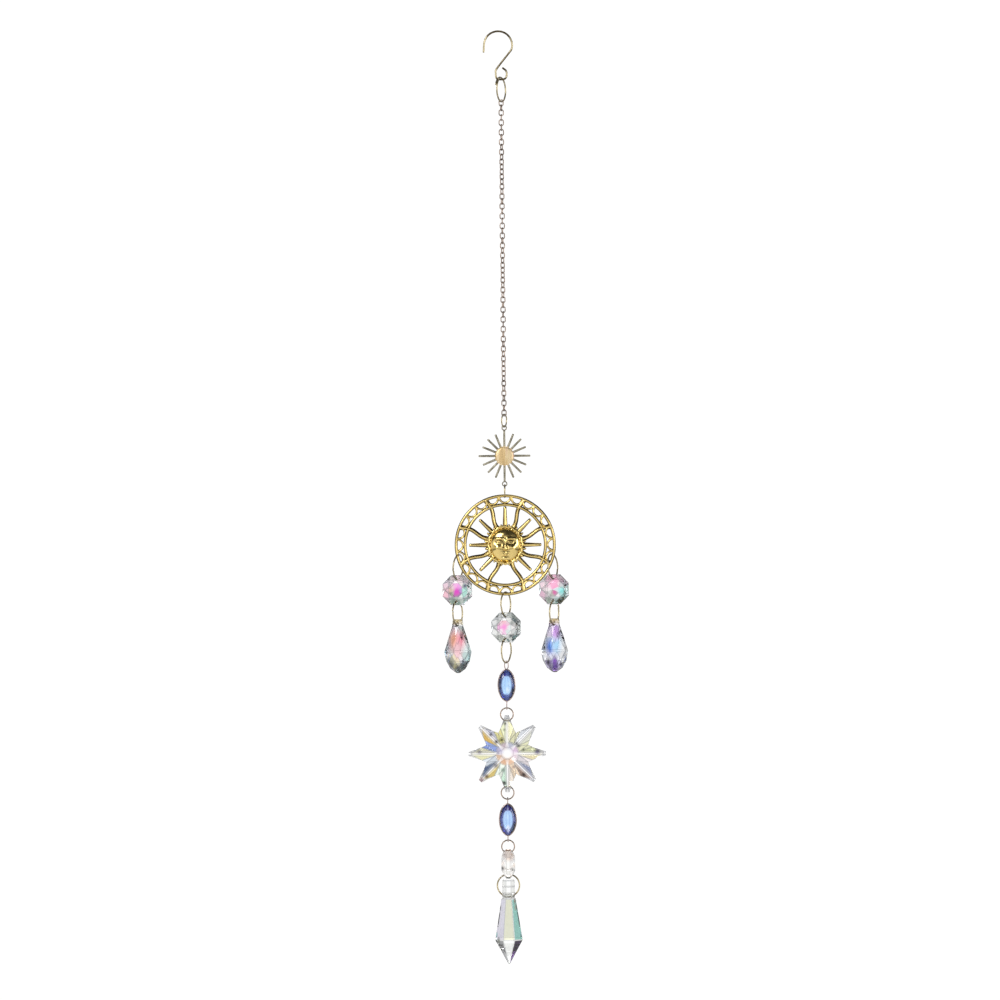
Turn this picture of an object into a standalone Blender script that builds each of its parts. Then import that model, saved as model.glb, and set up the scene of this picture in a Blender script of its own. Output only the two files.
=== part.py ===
"""Crystal suncatcher: a wire hook, a fine chain, a sun charm, a pierced sun medallion and cut-glass drops.

The origin is where the hook bears on whatever it hangs from. Z points up and the front faces -Y.
Each piece hangs from the one above it, so its height is worked out from that piece's lower eye or wire.
"""

import math

import bmesh
import bpy
from mathutils import Matrix, Vector

MM = 0.001

# Clearance left between two pieces that touch
GAP = 0.2 * MM

# The plumb line that the chain hangs on, measured from the middle of the hook
AXIS_X = 1.15 * MM

# Hook, a wire bent into a large open arc above a small loop
HOOK_WIRE = 0.9 * MM
HOOK_RADIUS = 6.43 * MM
HOOK_TIP_ANGLE = math.radians(202)
HOOK_LOOP_DROP = 19.3 * MM
HOOK_LOOP_RADIUS = 2.6 * MM
HOOK_LOOP_SWEEP = math.radians(297)
HOOK_ARC_STEPS = 14

# Jump rings, measured along the middle of their wire
BIG_RING_RADIUS = 5.5 * MM
BIG_RING_WIRE = 0.8 * MM
PRISM_RING_RADIUS = 5.0 * MM
SMALL_RING_RADIUS = 2.9 * MM
SMALL_RING_WIRE = 0.65 * MM
BIG_RING_SIDES = 14
SMALL_RING_SIDES = 10
RING_TURN = math.radians(67)
SIDE_TURN = math.radians(90)

# Chain of fine oval links, which twists slowly as it hangs
LINK_COUNT = 64
LINK_PITCH = 2.215 * MM
LINK_WIDTH = 2.5 * MM
LINK_WIRE = 0.58 * MM
LINK_BITE = 0.2 * MM
LINK_END = 0.85 * MM
LINK_TWIST = math.radians(4.45)
LINK_SQUARE_ON = 4

# Flat sun charm with a domed disc, sixteen rays and two eyes
CHARM_THICKNESS = 0.7 * MM
CHARM_DISC_RADIUS = 4.2 * MM
CHARM_DISC_THICKNESS = 1.9 * MM
CHARM_DISC_FLAT = 3.2 * MM
CHARM_RAYS = 16
CHARM_LONG_RAY = 11.2 * MM
CHARM_SHORT_RAY = 10.4 * MM
CHARM_RAY_ROOT = 3.4 * MM
CHARM_RAY_WIDTH = 0.85 * MM
CHARM_EYE_REACH = 12.7 * MM
CHARM_EYE_RADIUS = 1.25 * MM
CHARM_EYE_HOLE = 0.75 * MM

# Sun medallion, a pierced casting: two rims, a band of arches, rays and a domed face
MEDALLION_RADIUS = 22.75 * MM
MEDALLION_THICKNESS = 1.8 * MM
OUTER_RIM_WIDTH = 0.95 * MM
ARCH_COUNT = 24
ARCH_FOOT = 1.2 * MM
ARCH_RISE = 2.45 * MM
ARCH_WIRE = 0.75 * MM
INNER_RIM_RADIUS = MEDALLION_RADIUS - OUTER_RIM_WIDTH - ARCH_RISE - ARCH_WIRE
INNER_RIM_WIDTH = 1.1 * MM
ARCH_STEPS = 6
SPANDREL_MARGIN = 0.15 * MM
WAVY_RAYS = 8
WAVY_RAY_WIDTH = 1.3 * MM
WAVE_HEIGHT = 0.75 * MM
WAVE_STEPS = 5
STRAIGHT_RAY_GAP = 1.5 * MM
TOP_RAY_GAP = 0.5 * MM
STRAIGHT_RAY_ROOT = 1.9 * MM
STRAIGHT_RAY_TIP = 0.9 * MM
BOSS_RADIUS = 7.9 * MM
FACE_WIDTH = 14.2 * MM
FACE_HEIGHT = 15.6 * MM
FACE_DEPTH = 3.4 * MM
FACE_BACK = 0.6 * MM
RIM_SIDES = 56
RIM_HANG_ANGLE = math.radians(101.7)
RIM_RING_LEAN = math.radians(5)

# Octagon beads with two holes, one at the top and one at the bottom
BEAD_WIDTH = 13.5 * MM
BEAD_THICKNESS = 6.2 * MM
BEAD_TABLE = 6.4 * MM
BEAD_GIRDLE = 1.6 * MM
BEAD_HOLE = 1.7 * MM
BEAD_HOLE_INSET = 1.7 * MM
BEAD_HOLE_OFFSET = BEAD_WIDTH / 2 - BEAD_HOLE_INSET
BEAD_TURN = math.radians(-17)

# Teardrops, cut glass on the ends of the side strands
TEARDROP_LENGTH = 24.2 * MM
TEARDROP_WIDTH = 11.7 * MM
TEARDROP_NECK = 4.3 * MM
TEARDROP_TIP = 2.6 * MM
TEARDROP_DEPTH_SHARE = 0.8
TEARDROP_HOLE_OFFSET = 2.6 * MM
TEARDROP_HOLE = 1.7 * MM

# Pointed-oval stones in open metal settings with a wire bail at each end
MARQUISE_WIDTH = 8.2 * MM
MARQUISE_HEIGHT = 14.8 * MM
MARQUISE_POINTEDNESS = 1.15
MARQUISE_SIDES = 16
BEZEL_FRONT = 1.1 * MM
BEZEL_BACK = 1.3 * MM
BEZEL_WALL = 0.65 * MM
BEZEL_LEDGE = 1.4 * MM
BEZEL_LEDGE_THICKNESS = 0.5 * MM
STONE_TABLE_INSET = 1.65 * MM
STONE_TABLE_FRONT = 1.9 * MM
STONE_GIRDLE_FRONT = 1.0 * MM
BAIL_WIRE = 0.5 * MM
BAIL_WIDTH = 2.2 * MM
BAIL_SINK = 0.35 * MM
BAIL_SIDES = 8
UPPER_BAIL_REACH = 3.8 * MM
LOWER_BAIL_REACH = 2.8 * MM

# Cut-glass star with eight petals, the top and bottom ones drilled from side to side
STAR_RADIUS = 17.35 * MM
STAR_PETALS = 8
STAR_TIP_WIDTH = 1.7 * MM
STAR_SHOULDER_RADIUS = 11.5 * MM
STAR_SHOULDER_WIDTH = 5.8 * MM
STAR_NOTCH_RADIUS = 10.2 * MM
STAR_TABLE_RADIUS = 4.8 * MM
STAR_THICKNESS = 6.8 * MM
STAR_TIP_THICKNESS = 3.8 * MM
STAR_TIP_FACET = 1.15 * MM
STAR_EDGE = 2.2 * MM
STAR_HOLE = 1.5 * MM
STAR_HOLE_INSET = 2.35 * MM
STAR_HOLE_OFFSET = STAR_RADIUS - STAR_HOLE_INSET

# Long prism: a drilled neck, eight widening sides and a pointed foot
PRISM_LENGTH = 38.0 * MM
PRISM_NECK_WIDTH = 5.6 * MM
PRISM_NECK_LENGTH = 8.6 * MM
PRISM_COLLAR_WIDTH = 6.5 * MM
PRISM_COLLAR_STEP = 0.5 * MM
PRISM_WIDTH = 12.4 * MM
PRISM_WIDEST_DROP = 27.0 * MM
PRISM_TIP_WIDTH = 0.5 * MM
PRISM_HOLE_OFFSET = 7.2 * MM
PRISM_HOLE = 2.0 * MM

GLASS_SIDES = 8
HOLE_SIDES = 8


def clear_scene():
    """Removes what the file holds, so that the model is the same each run."""
    for item in list(bpy.data.objects):
        bpy.data.objects.remove(item, do_unlink=True)


def make_collection(name):
    """A new collection in the scene."""
    collection = bpy.data.collections.new(name)
    bpy.context.scene.collection.children.link(collection)
    return collection


def make_material(name, colour, roughness, metallic):
    """A Principled material of one finish."""
    material = bpy.data.materials.new(name)
    material.use_nodes = True
    shader = material.node_tree.nodes["Principled BSDF"]
    shader.inputs["Base Color"].default_value = (*colour, 1.0)
    shader.inputs["Roughness"].default_value = roughness
    shader.inputs["Metallic"].default_value = metallic
    return material


def add_object(name, data, material, collection, place=(0.0, 0.0, 0.0), turn=0.0, lean=0.0):
    """An object at a place, turned about its own upright axis and then leant to its right."""
    item = bpy.data.objects.new(name, data)
    pose = Matrix.Rotation(lean, 4, "Y") @ Matrix.Rotation(turn, 4, "Z")
    item.matrix_basis = Matrix.Translation(place) @ pose
    if material is not None:
        data.materials.append(material)
    collection.objects.link(item)
    return item


def add_tool(target, mesh, operation, tools):
    """Cuts a mesh out of a piece, or joins it on, with both in the piece's own frame."""
    tool = add_object(target.name + "_" + operation.lower(), mesh, None, tools)
    tool.parent = target
    tool.hide_render = True
    tool.display_type = "WIRE"
    modifier = target.modifiers.new(operation.title(), "BOOLEAN")
    modifier.operation = operation
    modifier.solver = "EXACT"
    modifier.object = tool
    return tool


def wire_curve(name, points, wire, closed, sides=6):
    """A round wire along straight runs between points."""
    curve = bpy.data.curves.new(name, "CURVE")
    curve.dimensions = "3D"
    curve.bevel_depth = wire / 2
    curve.bevel_resolution = (sides - 4) // 2
    curve.use_fill_caps = True
    spline = curve.splines.new("POLY")
    spline.points.add(len(points) - 1)
    for spot, place in zip(spline.points, points):
        spot.co = (*place, 1.0)
    spline.use_cyclic_u = closed
    return curve


def plate_curve(name, outlines, thickness):
    """A flat plate from closed outlines in the XY plane, the first its edge and the others its openings."""
    curve = bpy.data.curves.new(name, "CURVE")
    curve.dimensions = "2D"
    curve.fill_mode = "BOTH"
    curve.extrude = thickness / 2
    for outline in outlines:
        spline = curve.splines.new("POLY")
        spline.points.add(len(outline) - 1)
        for spot, (across, up) in zip(spline.points, outline):
            spot.co = (across, up, 0.0, 1.0)
        spline.use_cyclic_u = True
    return curve


def curve_to_mesh(curve, turn=Matrix.Identity(4)):
    """The mesh of a curve with its caps welded, and the curve removed."""
    item = bpy.data.objects.new(curve.name, curve)
    bpy.context.scene.collection.objects.link(item)
    graph = bpy.context.evaluated_depsgraph_get()
    mesh = bpy.data.meshes.new_from_object(item.evaluated_get(graph))
    bpy.data.objects.remove(item, do_unlink=True)
    bpy.data.curves.remove(curve)
    body = bmesh.new()
    body.from_mesh(mesh)
    bmesh.ops.remove_doubles(body, verts=body.verts, dist=0.001 * MM)
    bmesh.ops.transform(body, matrix=turn, verts=body.verts)
    bmesh.ops.recalc_face_normals(body, faces=body.faces)
    body.to_mesh(mesh)
    body.free()
    return mesh


def upright():
    """Turns a shape drawn in the XY plane so that it stands up and faces the front."""
    return Matrix.Rotation(math.pi / 2, 4, "X")


def ring_points(radius, sides):
    """Corners of a many-sided upright ring with a level side at its top and bottom."""
    step = math.tau / sides
    corner = radius / math.cos(step / 2)
    angles = [-math.pi / 2 + (index + 0.5) * step for index in range(sides)]
    return [(corner * math.cos(angle), 0.0, corner * math.sin(angle)) for angle in angles]


def arc_points(centre_x, centre_z, radius, start, end, steps):
    """Points along an upright arc."""
    angles = [start + (end - start) * index / steps for index in range(steps + 1)]
    return [(centre_x + radius * math.cos(a), 0.0, centre_z + radius * math.sin(a)) for a in angles]


def drilled_tool(name, bores, diameter, length, along):
    """Straight bores through the given points, along X or along Y."""
    body = bmesh.new()
    corner = diameter / 2 / math.cos(math.pi / HOLE_SIDES)
    lay = Matrix.Rotation(math.pi / 2, 4, "Y" if along == "X" else "X")
    for place in bores:
        bmesh.ops.create_cone(body, cap_ends=True, segments=HOLE_SIDES, radius1=corner, radius2=corner,
                              depth=length, matrix=Matrix.Translation(place) @ lay)
    mesh = bpy.data.meshes.new(name)
    body.to_mesh(mesh)
    body.free()
    return mesh


def loft_mesh(name, sections, closed=False):
    """A faceted body through sections with equal counts of corners.

    Each section is its corners and whether they are set half a step round. Sections set alike are joined by
    four-sided facets, and sections set half a step apart by triangles, as on cut glass.
    """
    body = bmesh.new()
    rows = [[body.verts.new(corner) for corner in corners] for corners, _ in sections]
    pairs = list(range(len(sections) - 1))
    if closed:
        pairs.append(len(sections) - 1)
    for index in pairs:
        after = (index + 1) % len(sections)
        join_rows(body, rows[index], rows[after], sections[after][1] - sections[index][1])
    if not closed:
        body.faces.new(rows[0])
        body.faces.new(rows[-1])
    bmesh.ops.recalc_face_normals(body, faces=body.faces)
    mesh = bpy.data.meshes.new(name)
    body.to_mesh(mesh)
    body.free()
    return mesh


def join_rows(body, upper, lower, half_step):
    """Facets between two rows of corners, the lower one set level, half a step on or half a step back."""
    count = len(upper)
    for index in range(count):
        after = (index + 1) % count
        if half_step == 0:
            body.faces.new((upper[index], upper[after], lower[after], lower[index]))
        elif half_step > 0:
            body.faces.new((upper[index], upper[after], lower[index]))
            body.faces.new((upper[after], lower[after], lower[index]))
        else:
            body.faces.new((lower[index], lower[after], upper[index]))
            body.faces.new((lower[after], upper[after], upper[index]))


def flat_sided(width, half_step):
    """Corner radius and first corner angle of an eight-sided section, given its width across flats."""
    step = math.tau / GLASS_SIDES
    return width / 2 / math.cos(step / 2), step / 2 + half_step * step / 2


def upright_section(width, y, half_step):
    """Eight corners of an upright section of a bead."""
    corner, first = flat_sided(width, half_step)
    angles = [first + index * math.tau / GLASS_SIDES for index in range(GLASS_SIDES)]
    return [(corner * math.cos(a), y, corner * math.sin(a)) for a in angles], half_step


def level_section(width, z, half_step, depth_share=1.0):
    """Eight corners of a level section of a drop."""
    corner, first = flat_sided(width, half_step)
    angles = [first + index * math.tau / GLASS_SIDES for index in range(GLASS_SIDES)]
    return [(corner * math.cos(a), depth_share * corner * math.sin(a), z) for a in angles], half_step


def sag(radius, length):
    """How far a ring's wire rises from its lowest point to the ends of a hole of this length."""
    return radius - math.sqrt(radius ** 2 - (length / 2) ** 2)


def bead_hole_length():
    """Thickness of an octagon bead where its holes go through."""
    slope = (BEAD_THICKNESS - BEAD_GIRDLE) / (BEAD_WIDTH - BEAD_TABLE)
    return BEAD_GIRDLE + slope * (BEAD_WIDTH - 2 * BEAD_HOLE_OFFSET)


def hook_loop_height():
    """Height of the middle of the hook's lower loop."""
    return HOOK_WIRE / 2 - HOOK_LOOP_DROP


def hook_points():
    """The hook's route: over the large arc, straight down across, and round the lower loop."""
    arc_z = HOOK_WIRE / 2 - HOOK_RADIUS
    loop_z = hook_loop_height()
    distance = math.hypot(AXIS_X, loop_z - arc_z)
    toward_loop = math.atan2(loop_z - arc_z, AXIS_X)
    leave = toward_loop + math.acos((HOOK_RADIUS + HOOK_LOOP_RADIUS) / distance)
    meet = leave + math.pi
    arc = arc_points(0.0, arc_z, HOOK_RADIUS, HOOK_TIP_ANGLE, leave, HOOK_ARC_STEPS)
    loop = arc_points(AXIS_X, loop_z, HOOK_LOOP_RADIUS, meet, meet + HOOK_LOOP_SWEEP, HOOK_ARC_STEPS)
    return arc + loop


class Maker:
    """Makes the pieces from the hook down, each one hung on the one before it."""

    def __init__(self):
        self.parts = make_collection("crystal_suncatcher")
        self.tools = make_collection("cutters_and_joined_shapes")
        self.wire_gold = make_material("pale gold wire", (0.62, 0.52, 0.36), 0.25, 1.0)
        self.chain_metal = make_material("darker chain metal", (0.42, 0.35, 0.31), 0.32, 1.0)
        self.charm_metal = make_material("brushed charm metal", (0.60, 0.43, 0.22), 0.4, 1.0)
        self.cast_gold = make_material("cast gold", (0.78, 0.60, 0.25), 0.25, 1.0)
        self.rose_gold = make_material("rose gold setting", (0.66, 0.46, 0.38), 0.28, 1.0)
        self.glass = make_material("coated clear glass", (0.86, 0.84, 0.90), 0.03, 0.0)
        self.blue_glass = make_material("blue cut glass", (0.20, 0.32, 0.72), 0.03, 0.0)

    def hook(self):
        curve = wire_curve("hook", hook_points(), HOOK_WIRE, False)
        mesh = curve_to_mesh(curve)
        add_object("hook", mesh, self.wire_gold, self.parts)
        return hook_loop_height() - HOOK_LOOP_RADIUS

    def big_ring(self, name, x, top_wire, turn=RING_TURN, lean=0.0, radius=BIG_RING_RADIUS):
        """A large jump ring from the height of its top wire; returns the height of its bottom wire."""
        curve = wire_curve(name, ring_points(radius, BIG_RING_SIDES), BIG_RING_WIRE, True)
        drop = radius * math.cos(lean)
        place = (x - radius * math.sin(lean), 0.0, top_wire - drop)
        add_object(name, curve_to_mesh(curve), self.wire_gold, self.parts, place, turn, lean)
        return top_wire - 2 * drop

    def small_ring(self, name, x, top_wire, turn=RING_TURN):
        """A small jump ring from the height of its top wire; returns the height of its bottom wire."""
        curve = wire_curve(name, ring_points(SMALL_RING_RADIUS, SMALL_RING_SIDES), SMALL_RING_WIRE, True)
        place = (x, 0.0, top_wire - SMALL_RING_RADIUS)
        add_object(name, curve_to_mesh(curve), self.wire_gold, self.parts, place, turn)
        return top_wire - 2 * SMALL_RING_RADIUS

    def chain(self, support):
        """The chain, hung on a wire; returns the height of its last link's lower wire."""
        half_width = (LINK_WIDTH - LINK_WIRE) / 2
        half_height = (LINK_PITCH - LINK_BITE + LINK_WIRE) / 2
        end = LINK_END / 2
        corners = [(half_width, 0.0), (end, half_height), (-end, half_height)]
        corners += [(-x, -z) for x, z in corners]
        points = [(x, 0.0, z) for x, z in corners]
        link = curve_to_mesh(wire_curve("link", points, LINK_WIRE, True, sides=4))
        bodies = [bmesh.new(), bmesh.new()]
        for index in range(LINK_COUNT):
            height = support - half_height - index * LINK_PITCH
            turn = index % 2 * math.pi / 2 + (index - LINK_SQUARE_ON) * LINK_TWIST
            copy = link.copy()
            copy.transform(Matrix.Translation((0.0, 0.0, height)) @ Matrix.Rotation(turn, 4, "Z"))
            bodies[index % 2].from_mesh(copy)
            bpy.data.meshes.remove(copy)
        meshes = [bpy.data.meshes.new("chain"), bpy.data.meshes.new("chain_between")]
        for body, mesh in zip(bodies, meshes):
            body.to_mesh(mesh)
            body.free()
        bpy.data.meshes.remove(link)
        chain = add_object("chain", meshes[0], self.chain_metal, self.parts, (AXIS_X, 0.0, 0.0))
        add_tool(chain, meshes[1], "UNION", self.tools)
        return support - 2 * half_height - (LINK_COUNT - 1) * LINK_PITCH

    def sun_charm(self, support):
        """The flat sun charm, hung by its upper eye; returns the height of its centre."""
        outlines = [charm_outline()] + [charm_eye_hole(side) for side in (1, -1)]
        plate = curve_to_mesh(plate_curve("sun_charm", outlines, CHARM_THICKNESS), upright())
        centre = support + GAP - CHARM_EYE_HOLE - CHARM_EYE_REACH
        charm = add_object("sun_charm", plate, self.charm_metal, self.parts, (AXIS_X, 0.0, centre))
        add_tool(charm, disc_mesh(), "UNION", self.tools)
        return centre

    def medallion(self, support):
        """The pierced medallion, hung by its outer rim; returns the height of its centre."""
        centre = support + GAP - (MEDALLION_RADIUS - OUTER_RIM_WIDTH)
        plate = curve_to_mesh(plate_curve("sun_medallion", medallion_outlines(), MEDALLION_THICKNESS), upright())
        medal = add_object("sun_medallion", plate, self.cast_gold, self.parts, (AXIS_X, 0.0, centre))
        add_tool(medal, face_mesh(), "UNION", self.tools)
        return centre

    def octagon_bead(self, name, x, wire, turn, upper_ring=BIG_RING_RADIUS, lower_ring=BIG_RING_RADIUS):
        """An octagon bead on a ring's lower wire; returns the height that a ring in its lower hole has."""
        half = BEAD_THICKNESS / 2
        edge = BEAD_GIRDLE / 2
        sections = [upright_section(BEAD_TABLE, -half, 1), upright_section(BEAD_WIDTH, -edge, 0),
                    upright_section(BEAD_WIDTH, edge, 0), upright_section(BEAD_TABLE, half, 1)]
        lift = sag(upper_ring, bead_hole_length()) / 2
        centre = wire + lift - BEAD_HOLE_OFFSET
        bead = add_object(name, loft_mesh(name, sections), self.glass, self.parts, (x, 0.0, centre), turn)
        bores = [(0.0, 0.0, side * BEAD_HOLE_OFFSET) for side in (1, -1)]
        add_tool(bead, drilled_tool("bead_holes", bores, BEAD_HOLE, 2 * BEAD_THICKNESS, "Y"), "DIFFERENCE",
                 self.tools)
        return centre - BEAD_HOLE_OFFSET + sag(lower_ring, bead_hole_length()) / 2

    def teardrop(self, name, x, wire, turn):
        """A faceted teardrop hung on a ring's lower wire."""
        rows = [(TEARDROP_NECK, 0.0, 0), (TEARDROP_NECK * 1.1, 0.13, 0), (TEARDROP_WIDTH * 0.72, 0.36, 1),
                (TEARDROP_WIDTH, 0.61, 0), (TEARDROP_WIDTH * 0.84, 0.82, 1), (TEARDROP_TIP, 1.0, 0)]
        sections = [level_section(width, -drop * TEARDROP_LENGTH, step, TEARDROP_DEPTH_SHARE)
                    for width, drop, step in rows]
        lift = sag(BIG_RING_RADIUS, TEARDROP_NECK) / 2
        top = wire + lift + TEARDROP_HOLE_OFFSET
        drop = add_object(name, loft_mesh(name, sections), self.glass, self.parts, (x, 0.0, top), turn)
        bores = [(0.0, 0.0, -TEARDROP_HOLE_OFFSET)]
        add_tool(drop, drilled_tool("drop_hole", bores, TEARDROP_HOLE, 2 * TEARDROP_NECK, "Y"), "DIFFERENCE",
                 self.tools)

    def strand_side(self, name, side, medallion_height):
        """A side strand: ring round the rim, octagon bead, ring and teardrop."""
        hang_radius = MEDALLION_RADIUS - OUTER_RIM_WIDTH - GAP - BIG_RING_WIRE / 2
        x = AXIS_X + side * hang_radius * math.sin(RIM_HANG_ANGLE)
        wire = medallion_height + hang_radius * math.cos(RIM_HANG_ANGLE)
        wire = self.big_ring(name + "_rim_ring", x, wire, RING_TURN, -side * RIM_RING_LEAN)
        x += side * 2 * BIG_RING_RADIUS * math.sin(RIM_RING_LEAN)
        wire = self.octagon_bead(name + "_octagon_bead", x, wire, BEAD_TURN)
        wire = self.big_ring(name + "_drop_ring", x, wire)
        self.teardrop(name + "_teardrop", x, wire, BEAD_TURN)

    def marquise(self, name, wire, ring_wire, reach, top_bail_turn):
        """A stone in its setting, hung by its upper bail; returns the height of its lower bail's wire."""
        bail_top = wire + ring_wire / 2 + GAP + BAIL_WIRE
        centre = bail_top - reach - MARQUISE_HEIGHT / 2
        place = (AXIS_X, 0.0, centre)
        bezel = add_object(name + "_bezel", bezel_mesh(), self.rose_gold, self.parts, place)
        for side, turn in ((1, top_bail_turn), (-1, SIDE_TURN)):
            add_tool(bezel, bail_mesh(reach, side, turn), "UNION", self.tools)
        add_object(name + "_stone", stone_mesh(), self.blue_glass, self.parts, place)
        return centre - MARQUISE_HEIGHT / 2 - reach + BAIL_WIRE / 2

    def star(self, wire):
        """The cut-glass star on a small ring; returns the height that a ring in its lower hole has."""
        lift = sag(SMALL_RING_RADIUS, star_width(STAR_HOLE_OFFSET)) / 2
        centre = wire + lift - STAR_HOLE_OFFSET
        star = add_object("crystal_star", star_mesh(), self.glass, self.parts, (AXIS_X, 0.0, centre))
        bores = [(0.0, 0.0, side * STAR_HOLE_OFFSET) for side in (1, -1)]
        add_tool(star, drilled_tool("star_holes", bores, STAR_HOLE, STAR_SHOULDER_WIDTH, "X"), "DIFFERENCE",
                 self.tools)
        return centre - STAR_HOLE_OFFSET + lift

    def prism(self, wire):
        """The long prism at the foot."""
        rows = [(PRISM_NECK_WIDTH, 0.0), (PRISM_NECK_WIDTH, PRISM_NECK_LENGTH - PRISM_COLLAR_STEP),
                (PRISM_COLLAR_WIDTH, PRISM_NECK_LENGTH), (PRISM_WIDTH, PRISM_WIDEST_DROP),
                (PRISM_TIP_WIDTH, PRISM_LENGTH)]
        sections = [level_section(width, -drop, 0) for width, drop in rows]
        top = wire + sag(PRISM_RING_RADIUS, PRISM_NECK_WIDTH) / 2 + PRISM_HOLE_OFFSET
        prism = add_object("icicle_prism", loft_mesh("icicle_prism", sections), self.glass, self.parts,
                           (AXIS_X, 0.0, top))
        bores = [(0.0, 0.0, -PRISM_HOLE_OFFSET)]
        add_tool(prism, drilled_tool("prism_hole", bores, PRISM_HOLE, 2 * PRISM_NECK_WIDTH, "X"), "DIFFERENCE",
                 self.tools)


def disc_mesh():
    """The charm's domed disc."""
    half = CHARM_DISC_THICKNESS / 2
    rows = [(CHARM_DISC_FLAT, -half), (CHARM_DISC_RADIUS, -CHARM_THICKNESS * 0.8),
            (CHARM_DISC_RADIUS, CHARM_THICKNESS * 0.8), (CHARM_DISC_FLAT, half)]
    sides = CHARM_RAYS + 4
    sections = []
    for radius, y in rows:
        angles = [index * math.tau / sides for index in range(sides)]
        sections.append(([(radius * math.cos(a), y, radius * math.sin(a)) for a in angles], 0))
    return loft_mesh("charm_disc", sections)


def polar(radius, angle, aside=0.0):
    """A point at an angle clockwise from the top, moved aside from that line."""
    return (radius * math.sin(angle) + aside * math.cos(angle),
            radius * math.cos(angle) - aside * math.sin(angle))


def charm_outline():
    """The charm's edge: sixteen narrow rays, the upright two ending in eyes."""
    points = []
    for index in range(CHARM_RAYS):
        angle = index * math.tau / CHARM_RAYS
        root = CHARM_RAY_WIDTH / 2
        points.append(polar(CHARM_RAY_ROOT, angle, -root))
        if index % (CHARM_RAYS // 2) == 0:
            start = math.pi - math.asin(root / CHARM_EYE_RADIUS)
            for step in range(8):
                round_eye = -start + step * 2 * start / 7
                points.append(polar(CHARM_EYE_REACH + CHARM_EYE_RADIUS * math.cos(round_eye), angle,
                                    CHARM_EYE_RADIUS * math.sin(round_eye)))
        else:
            reach = CHARM_LONG_RAY if index % (CHARM_RAYS // 4) == 0 else CHARM_SHORT_RAY
            points.append(polar(reach, angle, -root * 0.8))
            points.append(polar(reach, angle, root * 0.8))
        points.append(polar(CHARM_RAY_ROOT, angle, root))
    return points


def charm_eye_hole(side):
    """The opening of the charm's upper or lower eye."""
    corner = CHARM_EYE_HOLE / math.cos(math.pi / HOLE_SIDES)
    angles = [(index + 0.5) * math.tau / HOLE_SIDES for index in range(HOLE_SIDES)]
    return [(corner * math.cos(a), side * CHARM_EYE_REACH + corner * math.sin(a)) for a in angles]


def medallion_outlines():
    """The medallion's edge and every opening through it."""
    rim = [polar(MEDALLION_RADIUS, index * math.tau / RIM_SIDES) for index in range(RIM_SIDES)]
    outlines = [rim]
    step = math.tau / ARCH_COUNT
    for index in range(ARCH_COUNT):
        outlines.append(arch_opening(index * step))
        if index % (ARCH_COUNT // WAVY_RAYS) != 1:
            outlines.append(spandrel((index + 0.5) * step))
    turn = math.tau / WAVY_RAYS
    for index in range(WAVY_RAYS):
        outlines.append(ray_cell(index * turn, turn / 2))
    return outlines


def arch_half_width():
    """Half the opening of an arch at the outer rim."""
    inside = MEDALLION_RADIUS - OUTER_RIM_WIDTH
    return inside * math.pi / ARCH_COUNT - ARCH_FOOT / 2


def arch_opening(angle):
    """The opening under one arch of the band, a half oval standing on the outer rim."""
    inside = MEDALLION_RADIUS - OUTER_RIM_WIDTH
    points = []
    for step in range(ARCH_STEPS + 1):
        lean = -math.pi / 2 + step * math.pi / ARCH_STEPS
        points.append(polar(inside - ARCH_RISE * math.cos(lean), angle, arch_half_width() * math.sin(lean)))
    points.append(polar(inside, angle))
    return points


def spandrel(angle):
    """The three-cornered opening between two arches and the inner rim."""
    inside = MEDALLION_RADIUS - OUTER_RIM_WIDTH
    floor = INNER_RIM_RADIUS + SPANDREL_MARGIN
    half_step = inside * math.pi / ARCH_COUNT
    width = arch_half_width() + ARCH_WIRE
    rise = ARCH_RISE + ARCH_WIRE
    sides = []
    for share in (0.0, 0.3, 0.62):
        radius = floor + share * rise
        arch = width * math.sqrt(1 - ((inside - radius) / rise) ** 2)
        sides.append((radius, half_step * radius / inside - arch))
    right = [polar(radius, angle, aside) for radius, aside in sides if aside > 0]
    left = [polar(radius, angle, -aside) for radius, aside in sides if aside > 0]
    return left + right[::-1]


def wavy_edge(angle, side):
    """One side of a wavy ray, from the face's boss out to the inner rim."""
    rim = INNER_RIM_RADIUS - INNER_RIM_WIDTH
    hand = 1 if math.sin(angle) > 0 else -1
    points = []
    for step in range(WAVE_STEPS + 1):
        share = step / WAVE_STEPS
        swing = hand * WAVE_HEIGHT * math.sin(math.tau * share)
        points.append(polar(BOSS_RADIUS + share * (rim - BOSS_RADIUS), angle, swing + side * WAVY_RAY_WIDTH / 2))
    return points


def ray_cell(angle, half_turn):
    """The opening between two wavy rays, with a straight ray standing in it except at the bottom."""
    rim = INNER_RIM_RADIUS - INNER_RIM_WIDTH
    points = wavy_edge(angle - half_turn, 1)
    points += [polar(rim, angle + share * half_turn) for share in (-0.5, 0.0, 0.5)]
    points += wavy_edge(angle + half_turn, -1)[::-1]
    if abs(angle - math.pi) < half_turn / 2:
        points.append(polar(BOSS_RADIUS, angle))
        return points
    reach = rim - (TOP_RAY_GAP if angle == 0 else STRAIGHT_RAY_GAP)
    points.append(polar(BOSS_RADIUS, angle, STRAIGHT_RAY_ROOT / 2))
    points.append(polar(reach, angle, STRAIGHT_RAY_TIP / 2))
    points.append(polar(reach, angle, -STRAIGHT_RAY_TIP / 2))
    points.append(polar(BOSS_RADIUS, angle, -STRAIGHT_RAY_ROOT / 2))
    return points


def bump(value, middle, spread):
    """A smooth hill of height one."""
    return math.exp(-((value - middle) / spread) ** 2)


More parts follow.
